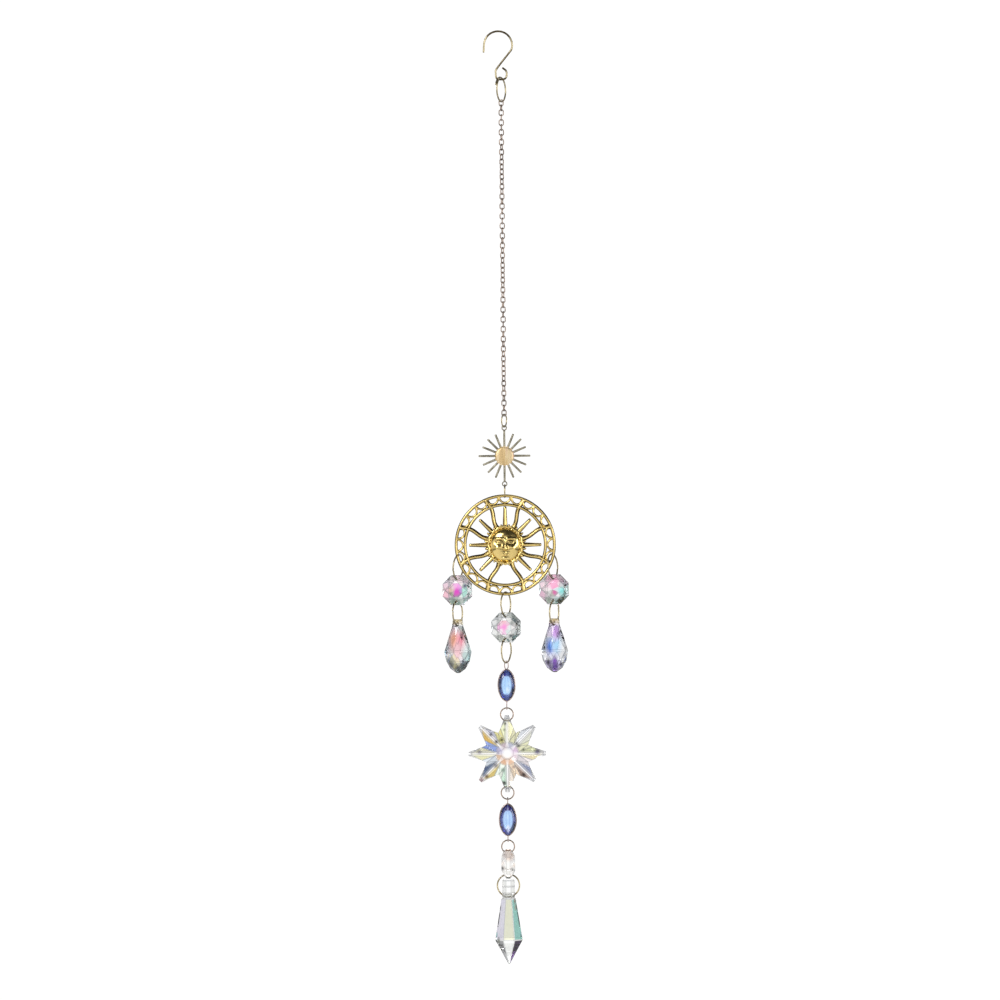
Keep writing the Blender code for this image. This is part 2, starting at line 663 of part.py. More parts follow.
def face_relief(across, up):
    """How far a calm, even face stands out, from shares of its half width and half height."""
    wide = abs(across)
    nose = 0.26 * bump(wide, 0.0, 0.13) * bump(up, -0.04, 0.24)
    brow = 0.12 * bump(wide, 0.34, 0.26) * bump(up, 0.30, 0.10)
    eye = -0.15 * bump(wide, 0.36, 0.18) * bump(up, 0.12, 0.12)
    cheek = 0.10 * bump(wide, 0.46, 0.22) * bump(up, -0.26, 0.20)
    mouth = 0.12 * bump(wide, 0.0, 0.24) * bump(up, -0.46, 0.08)
    chin = 0.12 * bump(wide, 0.0, 0.24) * bump(up, -0.74, 0.14)
    return nose + brow + eye + cheek + mouth + chin


def face_mesh():
    """The domed sun face, a flattened ball with its features raised on the front."""
    body = bmesh.new()
    bmesh.ops.create_uvsphere(body, u_segments=18, v_segments=12, radius=1.0,
                              matrix=Matrix.Rotation(math.pi / 2, 4, "X"))
    for vert in body.verts:
        across, forward, up = vert.co
        depth = FACE_BACK
        if forward < 0:
            depth = FACE_DEPTH * (1 + face_relief(across, up))
        vert.co = Vector((across * FACE_WIDTH / 2, forward * depth, up * FACE_HEIGHT / 2))
    bmesh.ops.recalc_face_normals(body, faces=body.faces)
    mesh = bpy.data.meshes.new("sun_face")
    body.to_mesh(mesh)
    body.free()
    return mesh


def marquise_section(inset, y):
    """Corners of a pointed oval drawn in from the setting's edge."""
    points = []
    for index in range(MARQUISE_SIDES):
        angle = index * math.tau / MARQUISE_SIDES
        lean = math.sin(angle)
        x = (MARQUISE_WIDTH / 2 - inset) * math.copysign(abs(lean) ** MARQUISE_POINTEDNESS, lean)
        points.append((x, y, (MARQUISE_HEIGHT / 2 - inset) * math.cos(angle)))
    return points, 0


def bezel_mesh():
    """The setting: a wall round the stone with a ledge behind it."""
    ledge_front = BEZEL_BACK - BEZEL_LEDGE_THICKNESS
    profile = [(0.0, -BEZEL_FRONT), (0.0, BEZEL_BACK), (BEZEL_LEDGE, BEZEL_BACK), (BEZEL_LEDGE, ledge_front),
               (BEZEL_WALL, ledge_front), (BEZEL_WALL, -BEZEL_FRONT)]
    return loft_mesh("bezel", [marquise_section(inset, y) for inset, y in profile], closed=True)


def stone_mesh():
    """The stone: a flat table, a sloping crown and a girdle that fits the setting."""
    girdle = BEZEL_WALL + GAP
    back = BEZEL_BACK - BEZEL_LEDGE_THICKNESS - GAP
    profile = [(STONE_TABLE_INSET, -STONE_TABLE_FRONT), (girdle, -STONE_GIRDLE_FRONT), (girdle, back)]
    return loft_mesh("stone", [marquise_section(inset, y) for inset, y in profile])


def bail_mesh(reach, side, turn):
    """A long wire eye at the setting's upper or lower end, turned about the upright axis."""
    half_height = (reach - BAIL_WIRE / 2 + BAIL_SINK) / 2
    half_width = (BAIL_WIDTH - BAIL_WIRE) / 2
    middle = side * (MARQUISE_HEIGHT / 2 - BAIL_SINK + half_height)
    points = [(x * half_width, 0.0, z * half_height) for x, _, z in ring_points(1.0, BAIL_SIDES)]
    lift = Matrix.Translation((0.0, 0.0, middle)) @ Matrix.Rotation(turn, 4, "Z")
    return curve_to_mesh(wire_curve("bail", points, BAIL_WIRE, True), lift)


def star_width(radius):
    """Width of a petal at a radius between its shoulder and its tip."""
    share = (radius - STAR_SHOULDER_RADIUS) / (STAR_RADIUS - STAR_SHOULDER_RADIUS)
    return STAR_SHOULDER_WIDTH + share * (STAR_TIP_WIDTH - STAR_SHOULDER_WIDTH)


def star_face(body, side):
    """The facets of one side of the star; returns its edge corners in order."""
    turn = math.tau / STAR_PETALS
    edge_y = side * STAR_EDGE / 2
    table, ridge, edge = [], [], []
    for index in range(STAR_PETALS):
        angle = index * turn
        middle = polar(STAR_TABLE_RADIUS, angle)
        crest = polar(STAR_RADIUS - STAR_TIP_FACET, angle)
        table.append(body.verts.new((middle[0], side * STAR_THICKNESS / 2, middle[1])))
        ridge.append(body.verts.new((crest[0], side * STAR_TIP_THICKNESS / 2, crest[1])))
        outline = [polar(STAR_SHOULDER_RADIUS, angle, -STAR_SHOULDER_WIDTH / 2),
                   polar(STAR_RADIUS, angle, -STAR_TIP_WIDTH / 2), polar(STAR_RADIUS, angle, STAR_TIP_WIDTH / 2),
                   polar(STAR_SHOULDER_RADIUS, angle, STAR_SHOULDER_WIDTH / 2),
                   polar(STAR_NOTCH_RADIUS, angle + turn / 2)]
        edge += [body.verts.new((x, edge_y, z)) for x, z in outline]
    body.faces.new(table)
    for index in range(STAR_PETALS):
        after = (index + 1) % STAR_PETALS
        left, tip_left, tip_right, right, notch = edge[5 * index:5 * index + 5]
        body.faces.new((table[index], left, tip_left, ridge[index]))
        body.faces.new((ridge[index], tip_left, tip_right))
        body.faces.new((table[index], ridge[index], tip_right, right))
        body.faces.new((table[index], right, notch))
        body.faces.new((table[index], notch, table[after]))
        body.faces.new((table[after], notch, edge[5 * after]))
    return edge


def star_mesh():
    """The star: two faceted sides joined round the edge."""
    body = bmesh.new()
    front = star_face(body, -1)
    back = star_face(body, 1)
    join_rows(body, front, back, 0)
    bmesh.ops.triangulate(body, faces=body.faces)
    bmesh.ops.recalc_face_normals(body, faces=body.faces)
    mesh = bpy.data.meshes.new("crystal_star")
    body.to_mesh(mesh)
    body.free()
    return mesh


def build():
    """Hangs every piece from the hook down."""
    clear_scene()
    maker = Maker()
    half_big = BIG_RING_WIRE / 2
    half_small = SMALL_RING_WIRE / 2

    wire = maker.hook()
    wire = maker.big_ring("hanging_ring", AXIS_X, wire + HOOK_WIRE / 2 + GAP + half_big)
    wire = maker.chain(wire + half_big + GAP + LINK_WIRE / 2)
    wire = maker.small_ring("chain_ring", AXIS_X, wire + LINK_WIRE / 2 + GAP + half_small)
    charm = maker.sun_charm(wire + half_small)
    eye_floor = charm - CHARM_EYE_REACH - CHARM_EYE_HOLE
    wire = maker.small_ring("charm_ring", AXIS_X, eye_floor + GAP + half_small, SIDE_TURN)
    medallion = maker.medallion(wire + half_small)
    maker.strand_side("left", -1, medallion)
    maker.strand_side("right", 1, medallion)

    rim_floor = medallion - MEDALLION_RADIUS + OUTER_RIM_WIDTH
    wire = maker.big_ring("centre_rim_ring", AXIS_X, rim_floor + GAP + half_big)
    wire = maker.octagon_bead("centre_octagon_bead", AXIS_X, wire, BEAD_TURN)
    wire = maker.big_ring("centre_drop_ring", AXIS_X, wire)
    bail = maker.marquise("upper", wire, BIG_RING_WIRE, UPPER_BAIL_REACH, 0.0)
    wire = maker.small_ring("star_upper_ring", AXIS_X, bail + BAIL_WIRE / 2 + GAP + half_small, 0.0)
    wire = maker.star(wire)
    wire = maker.small_ring("star_lower_ring", AXIS_X, wire, 0.0)
    bail = maker.marquise("lower", wire, SMALL_RING_WIRE, LOWER_BAIL_REACH, SIDE_TURN)
    wire = maker.small_ring("bead_ring", AXIS_X, bail + BAIL_WIRE / 2 + GAP + half_small, 0.0)
    wire = maker.octagon_bead("turned_octagon_bead", AXIS_X, wire, SIDE_TURN, SMALL_RING_RADIUS,
                              PRISM_RING_RADIUS)
    wire = maker.big_ring("prism_ring", AXIS_X, wire, 0.0, radius=PRISM_RING_RADIUS)
    maker.prism(wire)


build()
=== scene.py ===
"""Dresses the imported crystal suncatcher: wire, chain, sun charm, cast medallion and cut glass.

It is laid out as an add-on whose operators each make one piece or one group of like pieces. Run as a script,
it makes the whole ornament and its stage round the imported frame.
"""

import math

import bmesh
import bpy
from bpy.props import FloatProperty, FloatVectorProperty, IntProperty, PointerProperty
from mathutils import Matrix, Vector, noise


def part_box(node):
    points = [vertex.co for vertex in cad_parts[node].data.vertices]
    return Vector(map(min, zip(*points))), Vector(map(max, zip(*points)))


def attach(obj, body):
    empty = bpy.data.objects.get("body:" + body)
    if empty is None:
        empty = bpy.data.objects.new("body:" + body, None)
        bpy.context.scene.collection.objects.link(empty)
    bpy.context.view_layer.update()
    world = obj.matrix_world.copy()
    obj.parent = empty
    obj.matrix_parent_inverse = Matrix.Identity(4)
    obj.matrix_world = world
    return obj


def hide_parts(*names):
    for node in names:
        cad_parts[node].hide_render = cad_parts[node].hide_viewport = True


bl_info = {
    "name": "Crystal Suncatcher",
    "version": (1, 0, 0),
    "blender": (4, 5, 0),
    "location": "3D View > Sidebar > Suncatcher",
    "description": "Makes a hanging suncatcher of gold wire, a sun medallion and cut glass",
    "category": "Object",
}

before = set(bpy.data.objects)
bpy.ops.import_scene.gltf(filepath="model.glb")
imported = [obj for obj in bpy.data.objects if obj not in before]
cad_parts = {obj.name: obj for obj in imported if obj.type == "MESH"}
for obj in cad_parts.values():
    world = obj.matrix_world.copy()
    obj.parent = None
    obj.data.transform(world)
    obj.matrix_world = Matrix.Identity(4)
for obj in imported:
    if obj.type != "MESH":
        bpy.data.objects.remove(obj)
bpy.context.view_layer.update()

MM = 0.001
BODY = "root"

# The photograph is a square whose sides stand for this length beside the ornament
PHOTO_SPAN = 449.4 * MM
PHOTO_CENTRE = Vector((-1.03 * MM, 0.0, -210.36 * MM))
PHOTO_ROLL = math.radians(0.54)

DEPTH = Vector((0, 1, 0))
UPRIGHT = Vector((0, 0, 1))
RING_SEGMENTS = 72
WIRE_SIDES = 12
HOLE_SIDES = 20
# A run of wire counts as level, or as upright, by the height in its direction
LEVEL_RUN, UPRIGHT_RUN = 0.7, 0.97


# Places taken from the frame


def node_box(node):
    """Middle and size of a node at rest."""
    low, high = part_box(node)
    low, high = Vector(low), Vector(high)
    return (low + high) / 2, high - low


# Mesh helpers


def piece_from(body, name, material, nodes, smooth=True):
    """A finished piece from a bmesh, standing for its CAD nodes."""
    bmesh.ops.recalc_face_normals(body, faces=body.faces)
    mesh = bpy.data.meshes.new(name)
    body.to_mesh(mesh)
    body.free()
    mesh.polygons.foreach_set("use_smooth", [smooth] * len(mesh.polygons))
    item = bpy.data.objects.new(name, mesh)
    item.data.materials.append(material)
    bpy.context.scene.collection.objects.link(item)
    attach(item, BODY)
    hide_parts(*nodes)
    return item


def round_profile(width, depth=None, sides=WIRE_SIDES):
    """Corners of an oval wire section: in the plane of the path, then out of it."""
    depth = width if depth is None else depth
    angles = [(index + 0.5) * math.tau / sides for index in range(sides)]
    return [(width / 2 * math.cos(a), depth / 2 * math.sin(a)) for a in angles]


def strip(body, here, there):
    """Joins two closed rows of corners by four-sided faces."""
    for index in range(len(here)):
        after = (index + 1) % len(here)
        body.faces.new((here[index], here[after], there[after], there[index]))


def fan(body, tip, row):
    """Joins one corner to a closed row of them."""
    for index in range(len(row)):
        body.faces.new((tip, row[index], row[(index + 1) % len(row)]))


def sweep(body, path, profile, normal=DEPTH, closed=False, scales=None, shades=None, level_shade=0.0):
    """Draws a section along a path that lies in or near the plane with this normal.

    Shades give each corner of the section its share of patina and painted shade; the level shade, which is
    painted shade, is added where the path runs level.
    """
    count = len(path)
    rows = []
    for index, place in enumerate(path):
        if closed:
            ahead, behind = path[(index + 1) % count], path[index - 1]
        else:
            ahead, behind = path[min(index + 1, count - 1)], path[max(index - 1, 0)]
        tangent = (ahead - behind).normalized()
        out = (normal - normal.dot(tangent) * tangent).normalized()
        aside = tangent.cross(out)
        share = scales[index] if scales else (1.0, 1.0)
        rows.append([body.verts.new(place + aside * across * share[0] + out * rise * share[1])
                     for across, rise in profile])
    if shades or level_shade:
        patina_and_painted_shade = body.verts.layers.float["patina_and_painted_shade"]
        for index, row in enumerate(rows):
            inside = closed or 0 < index < count - 1
            run = path[(index + 1) % count] - path[index - 1] if inside else UPRIGHT
            level = level_shade * (1 - smoothstep(abs(run.normalized().z), LEVEL_RUN, UPRIGHT_RUN))
            for vert, shade in zip(row, shades or (0.0,) * len(row)):
                vert[patina_and_painted_shade] = shade + level
    for index in range(count if closed else count - 1):
        strip(body, rows[index], rows[(index + 1) % count])
    if not closed:
        body.faces.new(rows[0][::-1])
        body.faces.new(rows[-1])


def rounded_ends(path, reach, steps=4):
    """A path lengthened at both ends by short steps, and the scales that round the ends off."""
    start = (path[0] - path[1]).normalized()
    finish = (path[-1] - path[-2]).normalized()
    turns = [math.pi / 2 * (index + 1) / (steps + 0.35) for index in range(steps)]
    head = [path[0] + start * reach * math.sin(turn) for turn in turns]
    tail = [path[-1] + finish * reach * math.sin(turn) for turn in turns]
    shares = [(math.cos(turn), math.cos(turn)) for turn in turns]
    return (head[::-1] + list(path) + tail,
            shares[::-1] + [(1.0, 1.0)] * len(path) + shares)


def arc(centre, radius, start, end, steps):
    """Points along an upright arc."""
    angles = [start + (end - start) * index / steps for index in range(steps + 1)]
    return [Vector((centre[0] + radius * math.cos(a), centre[1], centre[2] + radius * math.sin(a)))
            for a in angles]


def circle_angles(steps):
    """Even turns round a full circle."""
    return [step * math.tau / steps for step in range(steps)]


def wander(place, amount):
    """A small smooth wander for a place, the same on each run."""
    bends_per_metre = 260.0
    spot = place * bends_per_metre + Vector((7.1, 3.3, 5.7))
    apart = ((0, 0, 0), (9.2, 0, 0), (0, 9.2, 0))
    return Vector([noise.noise(spot + Vector(step)) for step in apart]) * amount


def waver(index, pace, row, layer):
    """A smooth wander between minus one and one for the pieces of a row, the same on each run."""
    return noise.noise(Vector((index * pace, row, layer)))


def smoothstep(value, low, high):
    """Zero below low, one above high, smooth between."""
    share = max(0.0, min(1.0, (value - low) / (high - low)))
    return share * share * (3 - 2 * share)


# Materials


class Nodes:
    """Adds nodes to one tree and joins them."""

    def __init__(self, tree):
        self.tree = tree

    def add(self, kind, **values):
        node = self.tree.nodes.new(kind)
        for key, value in values.items():
            if key in node.inputs:
                node.inputs[key].default_value = value
            else:
                setattr(node, key, value)
        return node

    def join(self, source, target):
        self.tree.links.new(source, target)

    def noise(self, scale, detail=4.0, roughness=0.55, stretch=(1.0, 1.0, 1.0)):
        """Object-space noise, stretched where asked."""
        place = self.add("ShaderNodeTexCoord")
        mapping = self.add("ShaderNodeMapping")
        mapping.inputs["Scale"].default_value = stretch
        texture = self.add("ShaderNodeTexNoise")
        texture.inputs["Scale"].default_value = scale
        texture.inputs["Detail"].default_value = detail
        texture.inputs["Roughness"].default_value = roughness
        self.join(place.outputs["Object"], mapping.inputs["Vector"])
        self.join(mapping.outputs["Vector"], texture.inputs["Vector"])
        return texture.outputs["Fac"]

    def ramp(self, value, stops):
        """A colour ramp over a value."""
        node = self.add("ShaderNodeValToRGB")
        elements = node.color_ramp.elements
        while len(elements) < len(stops):
            elements.new(0.5)
        for element, (position, colour) in zip(elements, stops):
            element.position = position
            element.color = (*colour, 1.0)
        self.join(value, node.inputs["Fac"])
        return node.outputs["Color"]

    def mix(self, share, first, second, blend="MIX"):
        """Two colours mixed; each side is a socket or a colour."""
        node = self.add("ShaderNodeMix")
        node.data_type = "RGBA"
        node.blend_type = blend
        for slot, value in ((6, first), (7, second)):
            if isinstance(value, bpy.types.NodeSocket):
                self.join(value, node.inputs[slot])
            else:
                node.inputs[slot].default_value = (*value, 1.0)
        if isinstance(share, bpy.types.NodeSocket):
            self.join(share, node.inputs[0])
        else:
            node.inputs[0].default_value = share
        return node.outputs[2]

    def math(self, operation, *values):
        """A sum over sockets and numbers."""
        node = self.add("ShaderNodeMath", operation=operation)
        for slot, value in enumerate(values):
            if isinstance(value, bpy.types.NodeSocket):
                self.join(value, node.inputs[slot])
            else:
                node.inputs[slot].default_value = value
        return node.outputs[0]

    def sum(self, *values):
        """Values added up."""
        total = values[0]
        for value in values[1:]:
            total = self.math("ADD", total, value)
        return total

    def pick(self, share, first, second):
        """Two values mixed."""
        node = self.add("ShaderNodeMix")
        for slot, value in ((0, share), (2, first), (3, second)):
            self.join(value, node.inputs[slot])
        return node.outputs[0]

    def fit(self, value, low, high, out_low, out_high):
        """A value carried from one range to another."""
        node = self.add("ShaderNodeMapRange")
        for name, number in (("From Min", low), ("From Max", high), ("To Min", out_low), ("To Max", out_high)):
            node.inputs[name].default_value = number
        self.join(value, node.inputs["Value"])
        return node.outputs["Result"]


class Finish(Nodes):
    """One material's nodes round its Principled shader."""

    def __init__(self, name):
        self.material = bpy.data.materials.new(name)
        self.material.use_nodes = True
        self.shader = self.material.node_tree.nodes["Principled BSDF"]
        super().__init__(self.material.node_tree)

    def set(self, name, value):
        self.shader.inputs[name].default_value = value

    def bump(self, value, strength, distance):
        """Relief on the shader's normal."""
        node = self.add("ShaderNodeBump")
        node.inputs["Strength"].default_value = strength
        node.inputs["Distance"].default_value = distance
        self.join(value, node.inputs["Height"])
        self.join(node.outputs["Normal"], self.shader.inputs["Normal"])


def darker(colour, share):
    """A colour's darker tone."""
    return tuple(channel * share for channel in colour)


def plated_metal(name, colour, low_tone, roughness, grain=900.0, cavity=0.5, patina_and_painted_shade=None):
    """Plated metal: drifting tone, tarnish in hollows, rubbed edges, fine polish marks, and laid-on patina and
    painted shade.
    """
    make = Finish(name)
    make.set("Metallic", 1.0)
    drift = make.noise(grain * 0.2, 3.0)
    tone = make.ramp(drift, ((0.30, darker(colour, low_tone)), (0.62, colour)))
    edge = make.add("ShaderNodeNewGeometry").outputs["Pointiness"]
    hollow = make.ramp(edge, ((0.44, (1 - cavity,) * 3), (0.5, (0.94,) * 3), (0.58, (1.0,) * 3)))
    tone = make.mix(1.0, tone, hollow, "MULTIPLY")
    # A dark colour laid on by the mesh's share: patina in the hollows, painted shade on flanks, edges and level
    # runs.
    if patina_and_painted_shade:
        share = make.add("ShaderNodeAttribute", attribute_name="patina_and_painted_shade").outputs["Fac"]
        mottled = make.sum(share, make.fit(make.noise(grain, 4.0), 0.3, 0.7, -0.12, 0.12))
        tone = make.mix(make.fit(mottled, 0.15, 0.95, 0.0, 1.0), tone, patina_and_painted_shade)
    make.join(tone, make.shader.inputs["Base Color"])
    fine = make.noise(grain, 6.0, 0.6)
    make.join(make.fit(fine, 0.35, 0.7, roughness * 0.8, roughness * 1.25), make.shader.inputs["Roughness"])
    make.bump(fine, 0.06, 0.02 * MM)
    return make.material


GLASS_HAZE = 0.004
GLASS_IOR = 1.52


def cut_glass(name):
    """Clear glass whose facets carry painted tints: the coating's colours, with painted reflections, highlights
    and shade.
    """
    make = Finish(name)
    make.set("Transmission Weight", 1.0)
    make.set("IOR", GLASS_IOR)
    glass_tint_and_painted_light = make.add("ShaderNodeAttribute", attribute_name="glass_tint_and_painted_light").outputs["Color"]
    drift = make.ramp(make.noise(240.0, 2.0), ((0.35, (0.95, 0.96, 0.99)), (0.65, (1.0, 1.0, 0.98))))
    make.join(make.mix(1.0, glass_tint_and_painted_light, drift, "MULTIPLY"), make.shader.inputs["Base Color"])
    smear = make.noise(420.0, 3.0)
    make.join(make.fit(smear, 0.4, 0.7, GLASS_HAZE * 0.5, GLASS_HAZE * 3.0), make.shader.inputs["Roughness"])
    return make.material


# Settings


def length_setting(name, description, default):
    """A length that a user can change."""
    return FloatProperty(name=name, description=description, default=default, unit="LENGTH", subtype="DISTANCE")


def colour_setting(name, description, default):
    """A colour that a user can change."""
    return FloatVectorProperty(name=name, description=description, default=default, size=3, subtype="COLOR")


class SuncatcherMetal(bpy.types.PropertyGroup):
    """Sizes and colours of the wire, chain and castings."""

    hook_wire: length_setting("Hook Wire", "Thickness of the hook's wire", 0.9 * MM)
    big_ring_wire: length_setting("Large Ring Wire", "Thickness of the large rings' wire", 0.72 * MM)
    small_ring_wire: length_setting("Small Ring Wire", "Thickness of the small rings' wire", 0.6 * MM)
    link_count: IntProperty(name="Chain Links", description="Number of links in the chain", default=64, min=2)
    link_wire: length_setting("Link Wire", "Thickness of the chain's wire", 0.54 * MM)
    link_width: length_setting("Link Width", "Width of a chain link", 2.5 * MM)
    wire_colour: colour_setting("Wire Gold", "Colour of the pale gold wire", (0.70, 0.60, 0.38))
    aged_colour: colour_setting("Aged Wire", "Colour of the browner rings beside the star", (0.56, 0.43, 0.35))
    chain_colour: colour_setting("Chain Metal", "Colour of the chain", (0.50, 0.40, 0.34))
    charm_colour: colour_setting("Charm Metal", "Colour of the flat sun charm", (0.90, 0.66, 0.34))
    cast_colour: colour_setting("Cast Gold", "Colour of the cast medallion", (0.98, 0.74, 0.28))
    rose_colour: colour_setting("Rose Gold", "Colour of the stones' settings", (0.62, 0.50, 0.47))


class SuncatcherMedallion(bpy.types.PropertyGroup):
    """Sizes of the cast sun medallion."""

    rim_width: length_setting("Rim Width", "Width of the outer rim", 0.95 * MM)
    arch_count: IntProperty(name="Arches", description="Arches in the pierced band", default=24, min=8)
    arch_rise: length_setting("Arch Rise", "Height of the opening under an arch", 2.45 * MM)
    arch_wire: length_setting("Arch Wire", "Thickness of the arches", 0.75 * MM)
    inner_rim_width: length_setting("Inner Rim Width", "Width of the inner rim", 1.1 * MM)
    thickness: length_setting("Thickness", "Thickness of the rims and rays", 1.8 * MM)
    wavy_rays: IntProperty(name="Wavy Rays", description="Wavy rays from the face to the rim", default=8, min=4)
    face_width: length_setting("Face Width", "Width of the sun's face", 14.2 * MM)
    face_height: length_setting("Face Height", "Height of the sun's face", 15.6 * MM)


class SuncatcherGlass(bpy.types.PropertyGroup):
    """Sizes of the cut octagon beads."""

    bead_table: length_setting("Bead Table", "Width of an octagon bead's flat table", 6.4 * MM)
    bead_hole: length_setting("Bead Hole", "Diameter of an octagon bead's holes", 1.7 * MM)


class SuncatcherStage(bpy.types.PropertyGroup):
    """Camera distance and brightness of the studio."""

    camera_distance: length_setting("Camera Distance", "From the camera to the ornament", 3.0)
    floor_drop: length_setting("Floor Drop", "From the origin down to the floor", 0.5)
    floor_colour: colour_setting("Floor", "Colour of the floor", (0.92, 0.92, 0.92))


# Wire pieces


# The dark colour of the painted shade on the wires where they run level
WIRE_PAINTED_SHADE = (0.13, 0.10, 0.055)


# The lower loop's bends, in millimetres across and up from the loop's lowest point
HOOK_LOOP = ((-2.35, 4.45), (-2.35, 3.3), (-2.2, 0.75), (-1.3, 0.0), (1.3, 0.0), (2.4, 0.8), (2.75, 2.6),
             (2.3, 4.1), (0.9, 5.1))
# The wire's straight end, in shares of the large arc's radius
HOOK_END = ((-1.03, 0.0, -0.46), (-1.015, 0.0, -0.2))
HOOK_ARC = (math.radians(174), math.radians(-22), 22)
HOOK_LOOP_ASIDE = 1.15 * MM
HOOK_WANDER = 0.05 * MM


def hook_route():
    """The hook's wire, hand-bent: a straight end, a large arc, a run down and across, and a squarish loop."""
    wire = bpy.context.scene.suncatcher_metal.hook_wire
    middle, size = node_box("hook")
    radius = size.x / 2 - wire / 2
    top = Vector((0.0, 0.0, middle.z + size.z / 2 - size.x / 2))
    path = [top + Vector(spot) * radius for spot in HOOK_END]
    path += arc(top, radius, *HOOK_ARC)
    loop = Vector((middle.x + HOOK_LOOP_ASIDE, 0.0, middle.z - size.z / 2 + wire / 2))
    path += [loop + Vector((across, 0.0, up)) * MM for across, up in HOOK_LOOP]
    return path


def cut_corners(path, rounds=2):
    """Rounds a path's bends by cutting its corners, keeping its ends."""
    for _ in range(rounds):
        cut = [path[0]]
        for here, after in zip(path, path[1:]):
            cut += [here.lerp(after, 0.25), here.lerp(after, 0.75)]
        path = cut + [path[-1]]
    return path


def make_hook():
    """The hook of bent wire, a little uneven in its run and its thickness."""
    metal = bpy.context.scene.suncatcher_metal
    path = cut_corners(hook_route())
    path = [place + wander(place, HOOK_WANDER) for place in path]
    path, scales = rounded_ends(path, metal.hook_wire * 0.42)
    scales = [(a * (1 + 0.03 * math.sin(index * 0.9)), b) for index, (a, b) in enumerate(scales)]
    body = bmesh.new()
    body.verts.layers.float.new("patina_and_painted_shade")
    # Painted shade where the hook's wire runs level
    sweep(body, path, round_profile(metal.hook_wire, sides=14), scales=scales, level_shade=1.0)
    material = plated_metal("hook wire gold", metal.wire_colour, 0.6, 0.36, patina_and_painted_shade=WIRE_PAINTED_SHADE)
    return piece_from(body, "bent_hook", material, ["hook"])


# Each ring: turn about the upright, lean to the right, place of its joint and overlap of its ends, in degrees
RINGS = {
    "hanging_ring": (67, 0, 118, 42),
    "chain_ring": (67, 0, 10, 0),
    "charm_ring": (90, 0, 40, 0),
    "left_rim_ring": (67, 5, 200, 0),
    "left_drop_ring": (67, 0, 170, 0),
    "right_rim_ring": (67, -5, -15, 0),
    "right_drop_ring": (67, 0, 20, 0),
    "centre_rim_ring": (67, 0, 190, 0),
    "centre_drop_ring": (67, 0, -20, 0),
    "star_upper_ring": (0, 0, 160, 0),
    "star_lower_ring": (0, 0, 25, 0),
    "bead_ring": (0, 0, 205, 0),
    "prism_ring": (0, 0, 130, 0),
}
AGED_RINGS = ("star_upper_ring", "star_lower_ring", "bead_ring")
# Rings at least this high are bent from the thicker wire
BIG_RINGS = 6.5 * MM
RING_CUT = math.radians(1.0)
# How far a ring's ends stand apart where they meet and where they overlap, in shares of the wire
END_OFFSET, LAP_OFFSET = 0.12, 0.5


def make_ring(node, material):
    """A jump ring whose cut ends meet a little off true, or lie side by side where they overlap."""
    metal = bpy.context.scene.suncatcher_metal
    turn, lean, joint, lap = (math.radians(value) for value in RINGS[node])
    middle, size = node_box(node)
    wire = metal.big_ring_wire if size.z > BIG_RINGS else metal.small_ring_wire
    radius = size.z / 2 / math.cos(lean) - wire / 2
    offset = wire * (LAP_OFFSET if lap else END_OFFSET)
    path = []
    for index in range(RING_SEGMENTS + 1):
        share = index / RING_SEGMENTS
        angle = joint + RING_CUT + share * (math.tau - 2 * RING_CUT + lap)
        aside = offset * (2 * smoothstep(share, 0.0, 1.0) - 1)
        path.append(Vector((radius * math.cos(angle), aside, radius * math.sin(angle))))
    body = bmesh.new()
    body.verts.layers.float.new("patina_and_painted_shade")
    # Painted shade where the ring's wire runs level
    sweep(body, path, round_profile(wire), level_shade=0.6)
    pose = Matrix.Translation(middle) @ Matrix.Rotation(lean, 4, "Y") @ Matrix.Rotation(turn, 4, "Z")
    bmesh.ops.transform(body, matrix=pose, verts=body.verts)
    return piece_from(body, "wire_" + node, material, [node])


def make_rings():
    """Every jump ring."""
    metal = bpy.context.scene.suncatcher_metal
    bright = plated_metal("ring wire gold", metal.wire_colour, 0.55, 0.36, cavity=0.2, patina_and_painted_shade=WIRE_PAINTED_SHADE)
    aged = plated_metal("aged ring wire", metal.aged_colour, 0.55, 0.38, cavity=0.2, patina_and_painted_shade=WIRE_PAINTED_SHADE)
    for node in RINGS:
        make_ring(node, aged if node in AGED_RINGS else bright)


# The turn that each link adds to the chain's twist, and the first link seen square-on
LINK_TWIST = math.radians(4.45)
LINK_SQUARE_ON = 4
# How far a link may turn and lean off its place, in degrees
LINK_SWAY, LINK_LEAN = 3.0, 2.5


def link_path(height, width, steps=10):
    """An oval link's middle line: round ends joined by straight sides."""
    radius = width / 2
    reach = height / 2 - radius
    upper = arc((0, 0, reach), radius, 0.0, math.pi, steps)
    lower = arc((0, 0, -reach), radius, math.pi, math.tau, steps)
    return upper + lower


